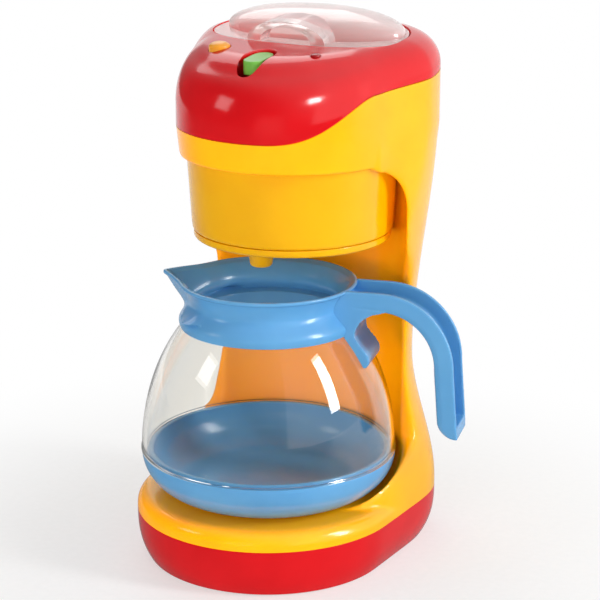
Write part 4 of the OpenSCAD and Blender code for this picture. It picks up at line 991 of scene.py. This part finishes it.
BASKET_AXIS, FLOOR_HOLE_R, BASKET_FLOOR_T = (0, BASKET_Y), 36.4, 1.6
BASKET_FLANGE_R, BASKET_TOP = LOBE_R - WALL - 2.6, BAND_Z + WALL + SEAT
basket_profile = [(FLOOR_HOLE_R, BASKET_Z)] + corner(basket_r(BASKET_Z) - 1.8, BASKET_Z + 1.8, 1.8, -90, 0)
basket_profile += [(basket_r(z), z) for z in np.linspace(BASKET_Z + 3, BASKET_TOP, 12)]
basket_profile += [(BASKET_FLANGE_R, BASKET_TOP), (BASKET_FLANGE_R, BASKET_TOP + 1.6),
                   (basket_r(BASKET_TOP) - WALL, BASKET_TOP + 1.6),
                   (basket_r(BASKET_Z) - WALL, BASKET_Z + BASKET_FLOOR_T),
                   (FLOOR_HOLE_R, BASKET_Z + BASKET_FLOOR_T)]
basket = turned("brew_basket_moulding", basket_profile, BASKET_AXIS)
# Two round notches in the flange let the hood's screw posts pass
for x, y in ((-36.62, -1.57), (36.62, -1.57)):
    cut(basket, make("tool", [rod(4.6, (x, y), BAND_Z, BAND_Z + 20)]))
shade(basket)
place(basket, yellow_abs, "machine", "yellow_abs", "brew_basket")

# %% Floor disc
DISC_R, PLUG_R, NOZZLE_Y, NOZZLE_R, NOZZLE_L = 41.8, 36.3, 5.4, 5.6, 8.1
disc_profile = [(0, FLOOR_Z)] + corner(DISC_R - 1.4, FLOOR_Z + 1.4, 1.4, -90, 0)
disc_profile += corner(DISC_R - 0.3, BASKET_Z - 0.35, 0.3, 0, 90, 4)
disc_profile += [(PLUG_R, BASKET_Z - 0.05), (PLUG_R, BASKET_Z + 1.4), (0, BASKET_Z + 1.4)]
disc = turned("basket_floor_moulding", disc_profile, BASKET_AXIS)
cut(disc, make("tool", [rod(NOZZLE_R - 1.1, (0, -NOZZLE_Y), FLOOR_Z - 2, FLOOR_Z + 8)]))
shade(disc)
place(disc, yellow_abs, "machine", "yellow_abs", "basket_floor")

# %% Drip nozzle
NOZZLE_Z, NOZZLE_ROUND = FLOOR_Z - NOZZLE_L, 1.8
nozzle_profile = corner(2.3, NOZZLE_Z + 0.3, 0.3, 180, 270, 4)
for a in np.radians(np.linspace(8, 90, 12)):
    nozzle_profile.append((NOZZLE_R - 2.6 + NOZZLE_ROUND * math.sin(a),
                           NOZZLE_Z + NOZZLE_ROUND - NOZZLE_ROUND * math.cos(a)))
nozzle_profile += [(NOZZLE_R - 0.1, FLOOR_Z - 1.3), (NOZZLE_R, FLOOR_Z - 0.9), (NOZZLE_R, FLOOR_Z - 0.05),
                   (NOZZLE_R - 1.2, FLOOR_Z - 0.05), (NOZZLE_R - 1.2, FLOOR_Z + DISC_T + 2.4),
                   (2.0, FLOOR_Z + DISC_T + 2.4)]
nozzle = turned("drip_nozzle_moulding", nozzle_profile, (0, -NOZZLE_Y), 96)
shade(nozzle)
place(nozzle, yellow_abs, "machine", "yellow_abs", "drip_nozzle")

# %% [markdown]
# ## Rocker
# The green rocker is a small block with a round back end, tilted in its well on a pin. It is lofted from one
# plan and softened as the housing is, because its satin top shows every hard edge.

# %% Rocker
ROCKER_W, ROCKER_L, ROCKER_NOSE = 8.8, 15.2, 4.4
ROCKER_FRONT = -WELL_Y - WELL_L / 2 + 5
ROCKER_BACK = ROCKER_FRONT + ROCKER_L
ROCKER_LOW, ROCKER_TOP, ROCKER_SLOPE = WELL_FLOOR + 1.2, HOOD_Z - 2.3, 0.11
PIVOT_Y, PIVOT_Z, PIVOT_R = (ROCKER_FRONT + ROCKER_BACK) / 2, HOOD_Z - 6, 1.2
# The underside rises to both ends by ten degrees, which leaves room for the tilt
UNDER_RISE = 0.1763
half = ROCKER_W / 2
rocker_plan = super_arc(half, ROCKER_NOSE, 2.15, ROCKER_FRONT + ROCKER_NOSE, 180, 360, 41)
rocker_plan += round_arc(half, ROCKER_BACK - half, 0, 180, 41)
rocker_plan = even(rocker_plan, 120)
rocker = make("rocker_moulding", [loft([
    lifted(rocker_plan, [ROCKER_LOW + UNDER_RISE * abs(y - PIVOT_Y) for x, y in rocker_plan]),
    lifted(rocker_plan, [ROCKER_TOP + ROCKER_SLOPE * (y - ROCKER_FRONT) for x, y in rocker_plan])])])
soften(rocker, 0.22, 16)
stem = block(-1.6, 1.6, PIVOT_Y - 4.8, PIVOT_Y - 2.4, HOOD_Z - 13.0, ROCKER_LOW + 1.4)
cut(rocker, make("tool", [stem]), "UNION")
cut(rocker, make("tool", [rod(PIVOT_R + 0.06, (PIVOT_Y, PIVOT_Z), -30, 30, "x")]))
shade(rocker, 40)
place(rocker, green_abs, "rocker", "green_abs", "rocker_switch")

# %% [markdown]
# ## Button, spring and lamp
# The amber button is a turned dome on a short skirt, which stops it under the skin. A coil spring of steel
# wire lifts it. The wire is a circle swept along a helix. It rides on the machine's body and keeps its length
# when the button goes down. The lamp is a red lens that just stands out of the skin.

# %% Button
BUTTON_RISE, BUTTON_TRAVEL, SKIRT_R, SKIRT_Z = 2.2, 1.6, BUTTON_R + 1.1, HOOD_Z - 7.6
BOARD_Z, BOARD_T, SWITCH_H, STEM_GAP = HOOD_Z - 16.5, 1.6, 3.4, 0.2
button_profile = [(BUTTON_R - 1.2, SKIRT_Z), (SKIRT_R, SKIRT_Z), (SKIRT_R, SKIRT_Z + 1.2),
                  (BUTTON_R, SKIRT_Z + 1.2)]
button_profile += [(BUTTON_R * math.cos(a), HOOD_Z + BUTTON_RISE * math.sin(a))
                   for a in np.radians(np.linspace(0, 90, 22))]
button_profile += [(0, SKIRT_Z + 5.6), (BUTTON_R - 1.2, SKIRT_Z + 5.6)]
button = turned("button_moulding", button_profile, (-CONTROL_X, 0), 96)
stem_foot = BOARD_Z + BOARD_T + SWITCH_H + BUTTON_TRAVEL + STEM_GAP
cut(button, make("tool", [rod(1.2, (-CONTROL_X, 0), stem_foot, HOOD_Z - 1.4)]), "UNION")
shade(button)
place(button, amber_abs, "button", "orange_abs", "power_button")

# %% Return spring
SPRING_R, WIRE_R, SPRING_TURNS = BUTTON_R + 0.5, 0.4, 4
SPRING_LOW, SPRING_HIGH = HOOD_Z - 14.8, SKIRT_Z - SEAT
coil = []
for t in np.linspace(0, 1, SPRING_TURNS * 40 + 1):
    a, z = 2 * math.pi * SPRING_TURNS * t, mix(SPRING_LOW + WIRE_R, SPRING_HIGH - WIRE_R, t)
    coil.append([(-CONTROL_X + (SPRING_R + WIRE_R * math.cos(b)) * math.cos(a),
                  (SPRING_R + WIRE_R * math.cos(b)) * math.sin(a), z + WIRE_R * math.sin(b))
                 for b in np.linspace(0, 2 * math.pi, 14, endpoint=False)])
spring = make("button_return_spring", [loft(coil)])
spring.data.polygons.foreach_set("use_smooth", [True] * len(spring.data.polygons))
place(spring, steel, "machine", "steel", "button_spring")
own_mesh(spring)

# %% Lamp lens
LENS_FOOT = HOOD_Z - 14.8
lens_profile = [(0, LENS_FOOT), (LAMP_R, LENS_FOOT), (LAMP_R, HOOD_Z - 0.1)]
lens_profile += [(LAMP_R * math.cos(a), HOOD_Z + 0.8 * math.sin(a))
                 for a in np.radians(np.linspace(9, 90, 12))]
lens = turned("lamp_lens", lens_profile, (CONTROL_X, 0), 64)
shade(lens)
place(lens, lamp_lens, "machine", "lamp_red", "indicator_lamp")

# %% [markdown]
# ## Carafe
# Four mouldings: a blue tray, the clear globe that closes over it as half an ellipsoid, a blue collar that
# grips the globe's neck, and the handle. The tray and the globe are turned about the carafe's axis. The
# globe has a real wall with an inner side, because a clear skin bends light twice.

# %% Tray
TRAY_Z, TRAY_LOW_R, TRAY_LIP, TRAY_FLOOR_T, BLUE_WALL = PLATE_Z + 0.2, 34.5, 1.4, 2.6, 2.0
GLOBE_Z = TRAY_Z + 18.2
GLOBE_TALL, GLOBE_H, NECK_H, COLLAR_H, CLEAR_WALL = 73.0, 54.6, 4.0, 18.8, 1.8
COLLAR_Z = GLOBE_Z + GLOBE_H
RIM_Z = COLLAR_Z + COLLAR_H
LIP_R = CARAFE_R - CLEAR_WALL - SEAT - 1
LIP_ROUND_Z = GLOBE_Z + TRAY_LIP - 0.6
tray_profile = [(0, TRAY_Z + 1), (TRAY_LOW_R - 4, TRAY_Z + 1), (TRAY_LOW_R - 3, TRAY_Z)]
for a in np.radians(np.linspace(0, 90, 31)):
    tray_profile.append((TRAY_LOW_R + (CARAFE_R - TRAY_LOW_R) * math.sin(a),
                         TRAY_Z + (GLOBE_Z - TRAY_Z) * (1 - math.cos(a))))
tray_profile[-1] = (CARAFE_R - 0.25, GLOBE_Z)
tray_profile += [(LIP_R, GLOBE_Z)] + corner(LIP_R - 0.6, LIP_ROUND_Z, 0.6, 0, 90, 5)
tray_profile += corner(LIP_R - BLUE_WALL + 0.6, LIP_ROUND_Z, 0.6, 90, 180, 5)
for a in np.radians(np.linspace(90, 0, 31)):
    tray_profile.append((mix(TRAY_LOW_R - 0.5, LIP_R - BLUE_WALL, math.sin(a)),
                         mix(TRAY_Z + TRAY_FLOOR_T, GLOBE_Z, 1 - math.cos(a))))
tray = turned("carafe_tray_moulding", tray_profile + [(0, TRAY_Z + TRAY_FLOOR_T)], (0, 0))
shade(tray)
place(tray, blue_abs, "carafe", "blue_pp", "carafe_tray")

# %% Globe
def globe_at(z):
    """Radius of the globe's skin at a height."""
    return CARAFE_R * math.sqrt(1 - ((z - GLOBE_Z) / GLOBE_TALL) ** 2)


NECK_R = globe_at(COLLAR_Z)
# A small bead at the foot overlaps the tray's edge
globe_profile = [(CARAFE_R - 1, GLOBE_Z + 0.05), (CARAFE_R + 0.1, GLOBE_Z + 0.05),
                 (CARAFE_R + 0.3, GLOBE_Z + 0.25), (CARAFE_R + 0.3, GLOBE_Z + 1.0),
                 (CARAFE_R + 0.15, GLOBE_Z + 1.2)]
globe_profile += [(globe_at(z), z) for z in np.linspace(GLOBE_Z + 1.5, COLLAR_Z, 44)]
globe_profile += [(NECK_R - 2.2, COLLAR_Z + 0.8), (NECK_R - 2.2, COLLAR_Z + NECK_H - 0.4),
                  (NECK_R - 2.6, COLLAR_Z + NECK_H), (NECK_R - 2.2 - CLEAR_WALL, COLLAR_Z + NECK_H),
                  (NECK_R - 2.4 - CLEAR_WALL, COLLAR_Z - 0.4)]
globe_profile += [(globe_at(z) - CLEAR_WALL, z) for z in np.linspace(COLLAR_Z - 0.6, GLOBE_Z + 0.05, 44)]
globe = turned("carafe_globe_moulding", globe_profile, (0, 0), 360)
shade(globe)
place(globe, clear_ps, "carafe", "clear_ps", "carafe_globe")

# %% [markdown]
# ## Collar with its spout
# The collar swells at its foot, draws in to a waist and opens to the rim. The spout is the collar's own wall
# drawn out to a prow. It could be pulled out of a turned collar by hand, but here each ring runs along two
# tangents to its point, with a small fillet where they leave the circle, which gives the hollow flanks.

# %% Shape of the collar and the spout
COLLAR_R, COLLAR_WAIST_R, RIM_R = 37.5, 32.6, 37.3
SWELL, WAIST_T = 0.14, 0.55
SPOUT_REACH, SPOUT_HALF, PROW_Z, PROW_R = 46.4, math.radians(24), RIM_Z - 14.4, 35.4
HANDLE_TURN = 15.0


def collar_at(z):
    """Radius of the collar at a height: a swelling, a draw to the waist, and a flare to the rim."""
    t = min(max((z - COLLAR_Z + 0.6) / (COLLAR_H + 0.6), 0), 1)
    if t < SWELL:
        return COLLAR_R - 0.7 * ((SWELL - t) / SWELL) ** 2
    if t < WAIST_T:
        return mix(COLLAR_R, COLLAR_WAIST_R, smooth((t - SWELL) / 0.41))
    return mix(COLLAR_WAIST_R, RIM_R, ((t - WAIST_T) / 0.45) ** 1.7)


def prow_at(z):
    """Reach of the spout's edge: it leaves the collar above its foot and leans out to its tip."""
    t = (z - PROW_Z) / (RIM_Z - PROW_Z)
    return mix(PROW_R, SPOUT_REACH, min(t, 1.0)) if t > 0 else 0


def spouted(r, z, apex, round_in=0.7, count=360):
    """A ring at radius r that runs out to the apex, on the side away from the handle."""
    out, away = [], math.radians(180 + HANDLE_TURN)
    for a in np.linspace(0, 2 * math.pi, count, endpoint=False):
        off = abs((a - away + math.pi) % (2 * math.pi) - math.pi)
        rho, lift = r, 0.0
        if apex > r and off < 1.0:
            flank = apex * r * math.sin(SPOUT_HALF) / max(
                r * math.sin(SPOUT_HALF - off) + apex * math.sin(off), 1.0)
            # The prow's edge is a small round, not a knife, and a fillet joins each flank to the ring
            flank = min(flank, apex - 0.4 - 0.1 * math.degrees(off)) if off < 0.14 else flank
            rho = r + round_in * math.log1p(math.exp(min((flank - r) / round_in, 40)))
            rho = mix(rho, r, smooth((off - 0.7) / 0.3))
            lift = 0.9 * smooth(1 - off / SPOUT_HALF / 1.4) * min(max((z - RIM_Z + 6) / 6, 0), 1)
        out.append((rho * math.cos(a), rho * math.sin(a), z + lift))
    return np.array(out)


def plain(r, z):
    return spouted(r, z, 0)


print(f"collar: foot {collar_at(COLLAR_Z):.1f} mm, rim {collar_at(RIM_Z):.1f} mm, spout {SPOUT_REACH} mm")

# %% Collar
BORE_R, SLOT_Z, SLOT_R = COLLAR_WAIST_R - 3.4, COLLAR_Z + NECK_H + 0.1, NECK_R - 2.1
LEDGE_Z, FOOT_Z = COLLAR_Z + NECK_H + 1.0, COLLAR_Z - 0.6
skirt = NECK_R - 2.4 - CLEAR_WALL - 2 * SEAT
outer = [spouted(collar_at(z), z, prow_at(z)) for z in np.linspace(COLLAR_Z - 0.2, RIM_Z - 2.2, 40)]
# A small bead runs round the rim: (in from the rim, below it, back from the spout's tip)
lip_out = [spouted(RIM_R - k, RIM_Z - drop, SPOUT_REACH - back) for k, drop, back in (
    (1.0, 1.7, 1.1), (0.55, 1.5, 0.5), (0.15, 1.15, 0.1), (0.0, 0.75, 0.0), (0.2, 0.3, 0.1), (0.65, 0.0, 0.5),
    (1.15, 0.0, 1.2), (1.6, 0.3, 1.9), (1.8, 0.7, 2.2))]
inner = [spouted(min(collar_at(z) - BLUE_WALL, RIM_R - 1.9), z, prow_at(z) - 2.4, 0.35)
         for z in np.linspace(RIM_Z - 1.3, LEDGE_Z + 1.6, 36)]
# Below the funnel come the bore, the skirt inside the globe's neck, and the slot that grips the neck
inside_foot = [plain(collar_at(LEDGE_Z + 1.0) - BLUE_WALL - 0.3, LEDGE_Z + 0.8), plain(BORE_R + 0.5, LEDGE_Z),
               plain(BORE_R, LEDGE_Z - 0.5), plain(BORE_R, COLLAR_Z - 0.3), plain(BORE_R + 0.4, FOOT_Z),
               plain(skirt, FOOT_Z), plain(skirt, SLOT_Z), plain(SLOT_R, SLOT_Z),
               plain(SLOT_R, COLLAR_Z + 0.9), plain(NECK_R + 0.1, COLLAR_Z + 0.1),
               plain(globe_at(FOOT_Z) + 0.1, FOOT_Z)]
foot_round = [plain(collar_at(COLLAR_Z) - 0.5, FOOT_Z), plain(collar_at(COLLAR_Z) - 0.15, COLLAR_Z - 0.45)]
collar = make("carafe_collar_moulding", [loft(outer + lip_out + inner + inside_foot + foot_round, hoop=True)])
shade(collar, 50)
place(collar, blue_abs, "carafe", "blue_pp", "carafe_collar")

# %% [markdown]
# ## Handle
# The handle is a U-shaped channel, open outwards, that runs straight off the rim, round a wide bend and
# down to a rounded end. Its section is swept along that line. A curve with a bevel could do this too, but
# mesh rings let the end close in a toe. A thumb lug with an S-shaped face hangs under it and bears on the
# globe. The parts are joined, remeshed, which blends them, and trimmed to the collar and the globe.

# %% Handle's line and section
HANDLE_W, HANDLE_D, HANDLE_WALL, HANDLE_TOE = 21.0, 8.4, 1.8, 7.0
HANDLE_REACH, HANDLE_DROP, HANDLE_BEND = 81.0, 58.0, 31.0
BEND_R, BEND_Z = HANDLE_REACH - HANDLE_BEND, RIM_Z - HANDLE_BEND


def handle_path(count=60):
    """(radius, height, inward normal) along the outer side of the handle."""
    out = [((r, RIM_Z), (0.0, -1.0)) for r in np.linspace(RIM_R - 12, BEND_R, 12)[:-1]]
    for a in np.radians(np.linspace(90, 0, count)):
        out.append(((BEND_R + HANDLE_BEND * math.cos(a), BEND_Z + HANDLE_BEND * math.sin(a)),
                    (-math.cos(a), -math.sin(a))))
    for z in np.linspace(BEND_Z, RIM_Z - HANDLE_DROP + HANDLE_TOE - 2.7, 16)[1:]:
        out.append(((HANDLE_REACH + 2 * (BEND_Z - z) / (HANDLE_DROP - HANDLE_BEND), z), (-1.0, -0.07)))
    return out


def section(w, d, r, open_at):
    """(across, deep) points of a bar of half width w and depth d, with its two inner corners rounded by r."""
    turn = np.radians(np.linspace(15, 90, 6))
    round_off = [(w - r + r * math.cos(a), d - r + r * math.sin(a)) for a in turn]
    return ([(-w, open_at), (w, open_at), (w, d - r)] + round_off
            + [(-x, y) for x, y in reversed(round_off)] + [(-w, d - r)])


def swept(shape, path):
    """Rings of the shape along the path, in the upright plane of the handle."""
    turn = math.radians(HANDLE_TURN)
    rings = []
    for (r, z), (nr, nz) in path:
        ring = []
        for across, deep in shape:
            rr = r + nr * deep
            ring.append((rr * math.cos(turn) - across * math.sin(turn),
                         rr * math.sin(turn) + across * math.cos(turn), z + nz * deep))
        rings.append(ring)
    return rings


bar = section(HANDLE_W / 2, HANDLE_D, 2.6, 0.0)
channel = section(HANDLE_W / 2 - HANDLE_WALL, HANDLE_D - HANDLE_WALL, 1.6, -2.0)
path = handle_path()
print("handle: line of", len(path), "points, section of", len(bar))

# %% Bar, toe and channel
bar_rings = swept(bar, path)
end_r, end_z = path[-1][0]
for t in (0.25, 0.48, 0.68, 0.83, 0.93, 0.985):
    shrink = math.sqrt(1 - t * t)
    shape = [(x * mix(1, shrink, 0.12), y * mix(1, shrink, 0.9)) for x, y in bar]
    bar_rings += swept(shape, [((end_r + 0.5 * t, end_z - HANDLE_TOE * t), (-1.0, 0.0))])
handle = make("handle_moulding", [loft(bar_rings)])
groove = path + [((end_r + 0.2, end_z - 2.2), (-1.0, 0.0))]
cut(handle, make("tool", [loft(swept(channel, groove))]))
print("bar:", len(handle.data.polygons), "faces")

# %% Thumb lug, and the trim to collar and globe
# (radius, height below the rim) down the lug's face, from the fillet under the bar to its toe
LUG_FACE = [(53.0, -7.6), (50.0, -8.5), (46.6, -9.5), (43.8, -11.1), (41.6, -13.2), (40.2, -15.6),
            (39.5, -17.6), (39.6, -19.2), (40.6, -21.2), (41.9, -22.9), (43.2, -24.4), (44.5, -25.8),
            (45.5, -27.3), (45.9, -29.2), (45.6, -31.0), (44.6, -32.4)]
LUG_INSIDE = [(36.0, -32.4), (27.0, -19.0), (27.0, -2.0), (40.0, -7.2)]
turn = math.radians(HANDLE_TURN)
lug = make("lug", [loft([[(r * math.cos(turn) - w * math.sin(turn), r * math.sin(turn) + w * math.cos(turn),
                           RIM_Z + z) for r, z in LUG_FACE + LUG_INSIDE]
                         for w in (-HANDLE_W / 2, HANDLE_W / 2)])])
cut(handle, lug, "UNION")
soften(handle, 0.34, 12)
body_line = [(0, COLLAR_Z - 30)]
body_line += [(globe_at(z) + 0.1, z) for z in np.linspace(COLLAR_Z - 30, COLLAR_Z - 0.9, 30)]
body_line += [(COLLAR_R + 0.1, COLLAR_Z - 0.9)]
body_line += [(collar_at(z) + 0.1, z) for z in np.linspace(FOOT_Z, RIM_Z, 30)]
body_line += [(RIM_R + 0.1, RIM_Z + 3), (0, RIM_Z + 3)]
cut(handle, turned("tool", body_line, (0, 0), 240))
shade(handle, 50)
place(handle, blue_abs, "carafe", "blue_pp", "carafe_handle")

# %% [markdown]
# ## Stage
# A pale paper sweep stands under and behind the toy, and the room behind the camera is dark, as in a studio.
# The eye sees the paper as white. More light would do that too, but it would wash out the toy, so the paper
# glows only for the rays that look at it, and adds no light. A glossy skin shows it behind and above the toy,
# and the darker room in what faces the camera, so that the colours stay full in front.

# %% Floor
HALF_FLOOR = 4
floor_mesh = bpy.data.meshes.new("floor")
floor_mesh.from_pydata([(-HALF_FLOOR, -HALF_FLOOR, 0), (HALF_FLOOR, -HALF_FLOOR, 0),
                        (HALF_FLOOR, HALF_FLOOR, 0), (-HALF_FLOOR, HALF_FLOOR, 0)], [], [(0, 1, 2, 3)])
floor = bpy.data.objects.new("floor", floor_mesh)
scene.collection.objects.link(floor)
print("floor:", 2 * HALF_FLOOR, "m wide")

# %% Paper of the floor
floor_paper, tree = finish("white_paper_sweep")
ground = put(tree, "ShaderNodeTexCoord").outputs["Object"]
# Paper fibres are 0.1 mm wide. They are drawn 3 mm wide, so that they show
fibres = put(tree, "ShaderNodeTexNoise", [(ground, "Vector")], Scale=grain(3.333))
tone = put(tree, "ShaderNodeValToRGB", [(fibres.outputs["Fac"], "Fac")],
           [(0.3, linear("#F4F4F4")), (0.7, linear("#FAFAFA"))])
matte = put(tree, "ShaderNodeBsdfPrincipled", [(tone.outputs["Color"], "Base Color")], Roughness=0.9)
rays = put(tree, "ShaderNodeLightPath").outputs
along = put(tree, "ShaderNodeSeparateXYZ", [(ground, "Vector")]).outputs["Y"]
span = put(tree, "ShaderNodeVectorMath", [(ground, 0)], operation="LENGTH").outputs["Value"]
# Within 60 mm of the axis the eye still sees some of the real paper, which keeps the toy's shadow
seen = put(tree, "ShaderNodeMath", [(rays["Is Camera Ray"], 0), (rays["Is Transmission Ray"], 1)],
           operation="MAXIMUM")
far = put(tree, "ShaderNodeMapRange", [(span, "Value")], interpolation_type="SMOOTHSTEP",
          From__Min=0.06, From__Max=0.26, To__Min=0.55, To__Max=1.0)
seen_far = put(tree, "ShaderNodeMath", [(seen.outputs[0], 0), (far.outputs["Result"], 1)],
               operation="MULTIPLY")
amount = put(tree, "ShaderNodeMath", [(seen_far.outputs[0], 0), (rays["Is Glossy Ray"], 1)],
             operation="MAXIMUM")
print("the eye sees the paper's glow in full from", round(far.inputs["From Max"].default_value, 2), "m out")

# %% Glow of the paper
# Mirrors see the paper brighter towards the back
mirrored = put(tree, "ShaderNodeMapRange", [(along, "Value")], interpolation_type="SMOOTHSTEP",
               From__Min=-0.2, From__Max=0.5, To__Min=0.12, To__Max=0.9)
# Light that has been inside the globe and comes out towards the camera meets the dark side of the room
ahead = put(tree, "ShaderNodeMapRange", [(along, "Value")], interpolation_type="SMOOTHSTEP",
            From__Min=-0.12, From__Max=0.05, To__Min=0.3, To__Max=1.0)
through = put(tree, "ShaderNodeMath", [(rays["Is Transmission Ray"], 0), (ahead.outputs["Result"], 1)],
              operation="MULTIPLY")
unseen = put(tree, "ShaderNodeMath", [(through.outputs[0], 0), (mirrored.outputs["Result"], 1)],
             operation="MAXIMUM")
lit = put(tree, "ShaderNodeMath", [(rays["Is Camera Ray"], 0), (unseen.outputs[0], 1)], operation="MAXIMUM")
glow = put(tree, "ShaderNodeEmission", [(lit.outputs[0], "Strength")], Color=(1, 1, 1, 1))
sweep = put(tree, "ShaderNodeMixShader",
            [(amount.outputs[0], 0), (matte.outputs["BSDF"], 1), (glow.outputs[0], 2)])
put(tree, "ShaderNodeOutputMaterial", [(sweep.outputs[0], "Surface")])
floor_mesh.materials.append(floor_paper)
print("floor:", len(tree.nodes), "nodes")

# %% [markdown]
# ## Room
# The world lights the toy with an even 0.28. Mirrors see a room that is pale behind and above and dark in
# front, with a pale wall on the right whose near edge shows as an upright line in every glossy skin. Only
# the eye sees pure white. What is seen through the globe fades to the dark side in the same way.

# %% World
BEHIND, WALL_SIDE, BEYOND = (0.5, 0.6, 0.62), (0.68, 0.73, 0.0), (-0.5, 0.86, 0.0)
world = bpy.data.worlds.new("studio")
scene.world = world
world.use_nodes = True
tree = world.node_tree
tree.nodes.clear()
rays = put(tree, "ShaderNodeLightPath").outputs
outward = put(tree, "ShaderNodeTexCoord").outputs["Generated"]
# How far a ray looks each way, turned to a strength by a smooth climb: (way, from, to, start, stop)
sides = []
for way, low, high, start, stop in ((BEHIND, -0.3, 0.7, 0.08, 0.95), (WALL_SIDE, -0.04, 0.04, 0.0, 1.1),
                                    (BEYOND, 0.0, 0.7, 0.2, 1.0)):
    look = put(tree, "ShaderNodeVectorMath", [(outward, 0)], values=[(1, way)], operation="DOT_PRODUCT")
    climb = put(tree, "ShaderNodeMapRange", [(look.outputs["Value"], "Value")],
                interpolation_type="SMOOTHSTEP", From__Min=low, From__Max=high, To__Min=start, To__Max=stop)
    sides.append(climb.outputs["Result"])
room = put(tree, "ShaderNodeMath", [(sides[0], 0), (sides[1], 1)], operation="MAXIMUM")
beyond = put(tree, "ShaderNodeMath", [(rays["Is Camera Ray"], 0), (sides[2], 1)], operation="MAXIMUM")
seen = put(tree, "ShaderNodeMath", [(rays["Is Camera Ray"], 0), (rays["Is Transmission Ray"], 1)],
           operation="MAXIMUM")
soft = put(tree, "ShaderNodeBackground", Color=(1, 1, 1, 1), Strength=0.28)
studio = put(tree, "ShaderNodeBackground", [(room.outputs[0], "Strength")], Color=(1, 1, 1, 1))
white = put(tree, "ShaderNodeBackground", [(beyond.outputs[0], "Strength")], Color=(1, 1, 1, 1))
shine = put(tree, "ShaderNodeMixShader",
            [(rays["Is Glossy Ray"], 0), (soft.outputs[0], 1), (studio.outputs[0], 2)])
blend = put(tree, "ShaderNodeMixShader",
            [(seen.outputs[0], 0), (shine.outputs[0], 1), (white.outputs[0], 2)])
put(tree, "ShaderNodeOutputWorld", [(blend.outputs[0], "Surface")])
print("world:", len(tree.nodes), "nodes")

# %% [markdown]
# ## Lamps
# Soft boxes light the toy as in a product studio: a tall key on the right, a weak fill on the left and a wide
# sheen above the back. Broad lamps in front fill the bay, and are flagged off so that no skin mirrors them.
# Light linking keeps a lamp to some pieces, where a studio would hold up a card.

# %% Soft boxes
MIDDLE, HEAD = (0, 0.02, 0.12), (0, 0.02, 0.2)


def soft_box(name, spot, aim, size, watts, tint=(1.0, 1.0, 1.0)):
    lamp = bpy.data.lights.new(name, "AREA")
    lamp.shape, lamp.size, lamp.size_y = "RECTANGLE", size[0], size[1]
    lamp.energy, lamp.color = watts, tint
    holder = bpy.data.objects.new(name, lamp)
    holder.location = spot
    holder.rotation_mode = "QUATERNION"
    holder.rotation_quaternion = (Vector(aim) - Vector(spot)).to_track_quat("-Z", "Y")
    scene.collection.objects.link(holder)
    return holder


def only(lamp, name, *pieces):
    """Light linking: the lamp lights only these pieces."""
    group = bpy.data.collections.new(name)
    for piece in pieces:
        group.objects.link(piece)
    lamp.light_linking.receiver_collection = group
    return group


KEY = (1.0, 0.12, 0.55), MIDDLE, (0.20, 0.60), 7.6
key = soft_box("key", *KEY)
soft_box("fill", (-0.62, -0.62, 0.55), MIDDLE, (0.26, 0.26), 0.6)
soft_box("sheen", (-0.40, 0.35, 0.75), HEAD, (0.6, 0.5), 1.6)
for name, spot, watts in (("front", (0.53, -0.92, 0.42), 0.6), ("low_front", (0.16, -1.10, 0.24), 4.9)):
    broad = soft_box(name, spot, MIDDLE, (0.5, 0.5), watts, (1.0, 0.95, 0.88))
    broad.visible_glossy = broad.visible_transmission = False
print("key", key.data.energy, "W, with fill, sheen and two broad lamps")

# %% Linked lamps
# The hood gets the same key without its mirror image, and a small catch light on its nose instead
for row in only(key, "all_but_hood", hood).collection_objects:
    row.light_linking.link_state = "EXCLUDE"
hood_key = soft_box("hood_key", *KEY)
hood_key.visible_glossy = False
only(hood_key, "hood_alone", hood)
catch = soft_box("catch", (0.55, -0.50, 0.68), HEAD, (0.15, 0.10), 1.6)
catch.visible_diffuse = catch.visible_transmission = False
only(catch, "hood_nose", hood)
# Yellow walls that face each other fill their shade with orange. Two warm lamps add what few bounces lose
for name, spot, size, watts in (("bounce_left", (-0.06, -0.90, 0.15), (0.5, 0.3), 4.6),
                                ("bounce_right", (0.42, -0.70, 0.34), (0.12, 0.12), 1.6)):
    bounce = soft_box(name, spot, (0, 0.04, 0.12), size, watts, (1.0, 0.34, 0.02))
    bounce.visible_glossy = bounce.visible_transmission = False
    only(bounce, name + "_walls", housing)
print("lamps:", len(bpy.data.lights))

# %% [markdown]
# ## Camera
# A long lens from the front right, a little above the toy, keeps its upright edges nearly parallel, as in a
# catalogue.

# %% Camera
camera = bpy.data.objects.new("camera", bpy.data.cameras.new("camera"))
camera.data.lens, camera.data.sensor_width = 121.07, 36.0
camera.location = (0.4165, -0.6948, 0.3493)
camera.rotation_mode = "QUATERNION"
camera.rotation_quaternion = Vector((-0.4797, 0.8309, -0.2821)).to_track_quat("-Z", "Y")
camera.data.clip_start, camera.data.clip_end = 0.01, 20
scene.collection.objects.link(camera)
scene.camera = camera
scene.view_settings.view_transform = "Standard"
print(f"camera: {camera.location.length:.2f} m away, {camera.data.lens} mm lens")
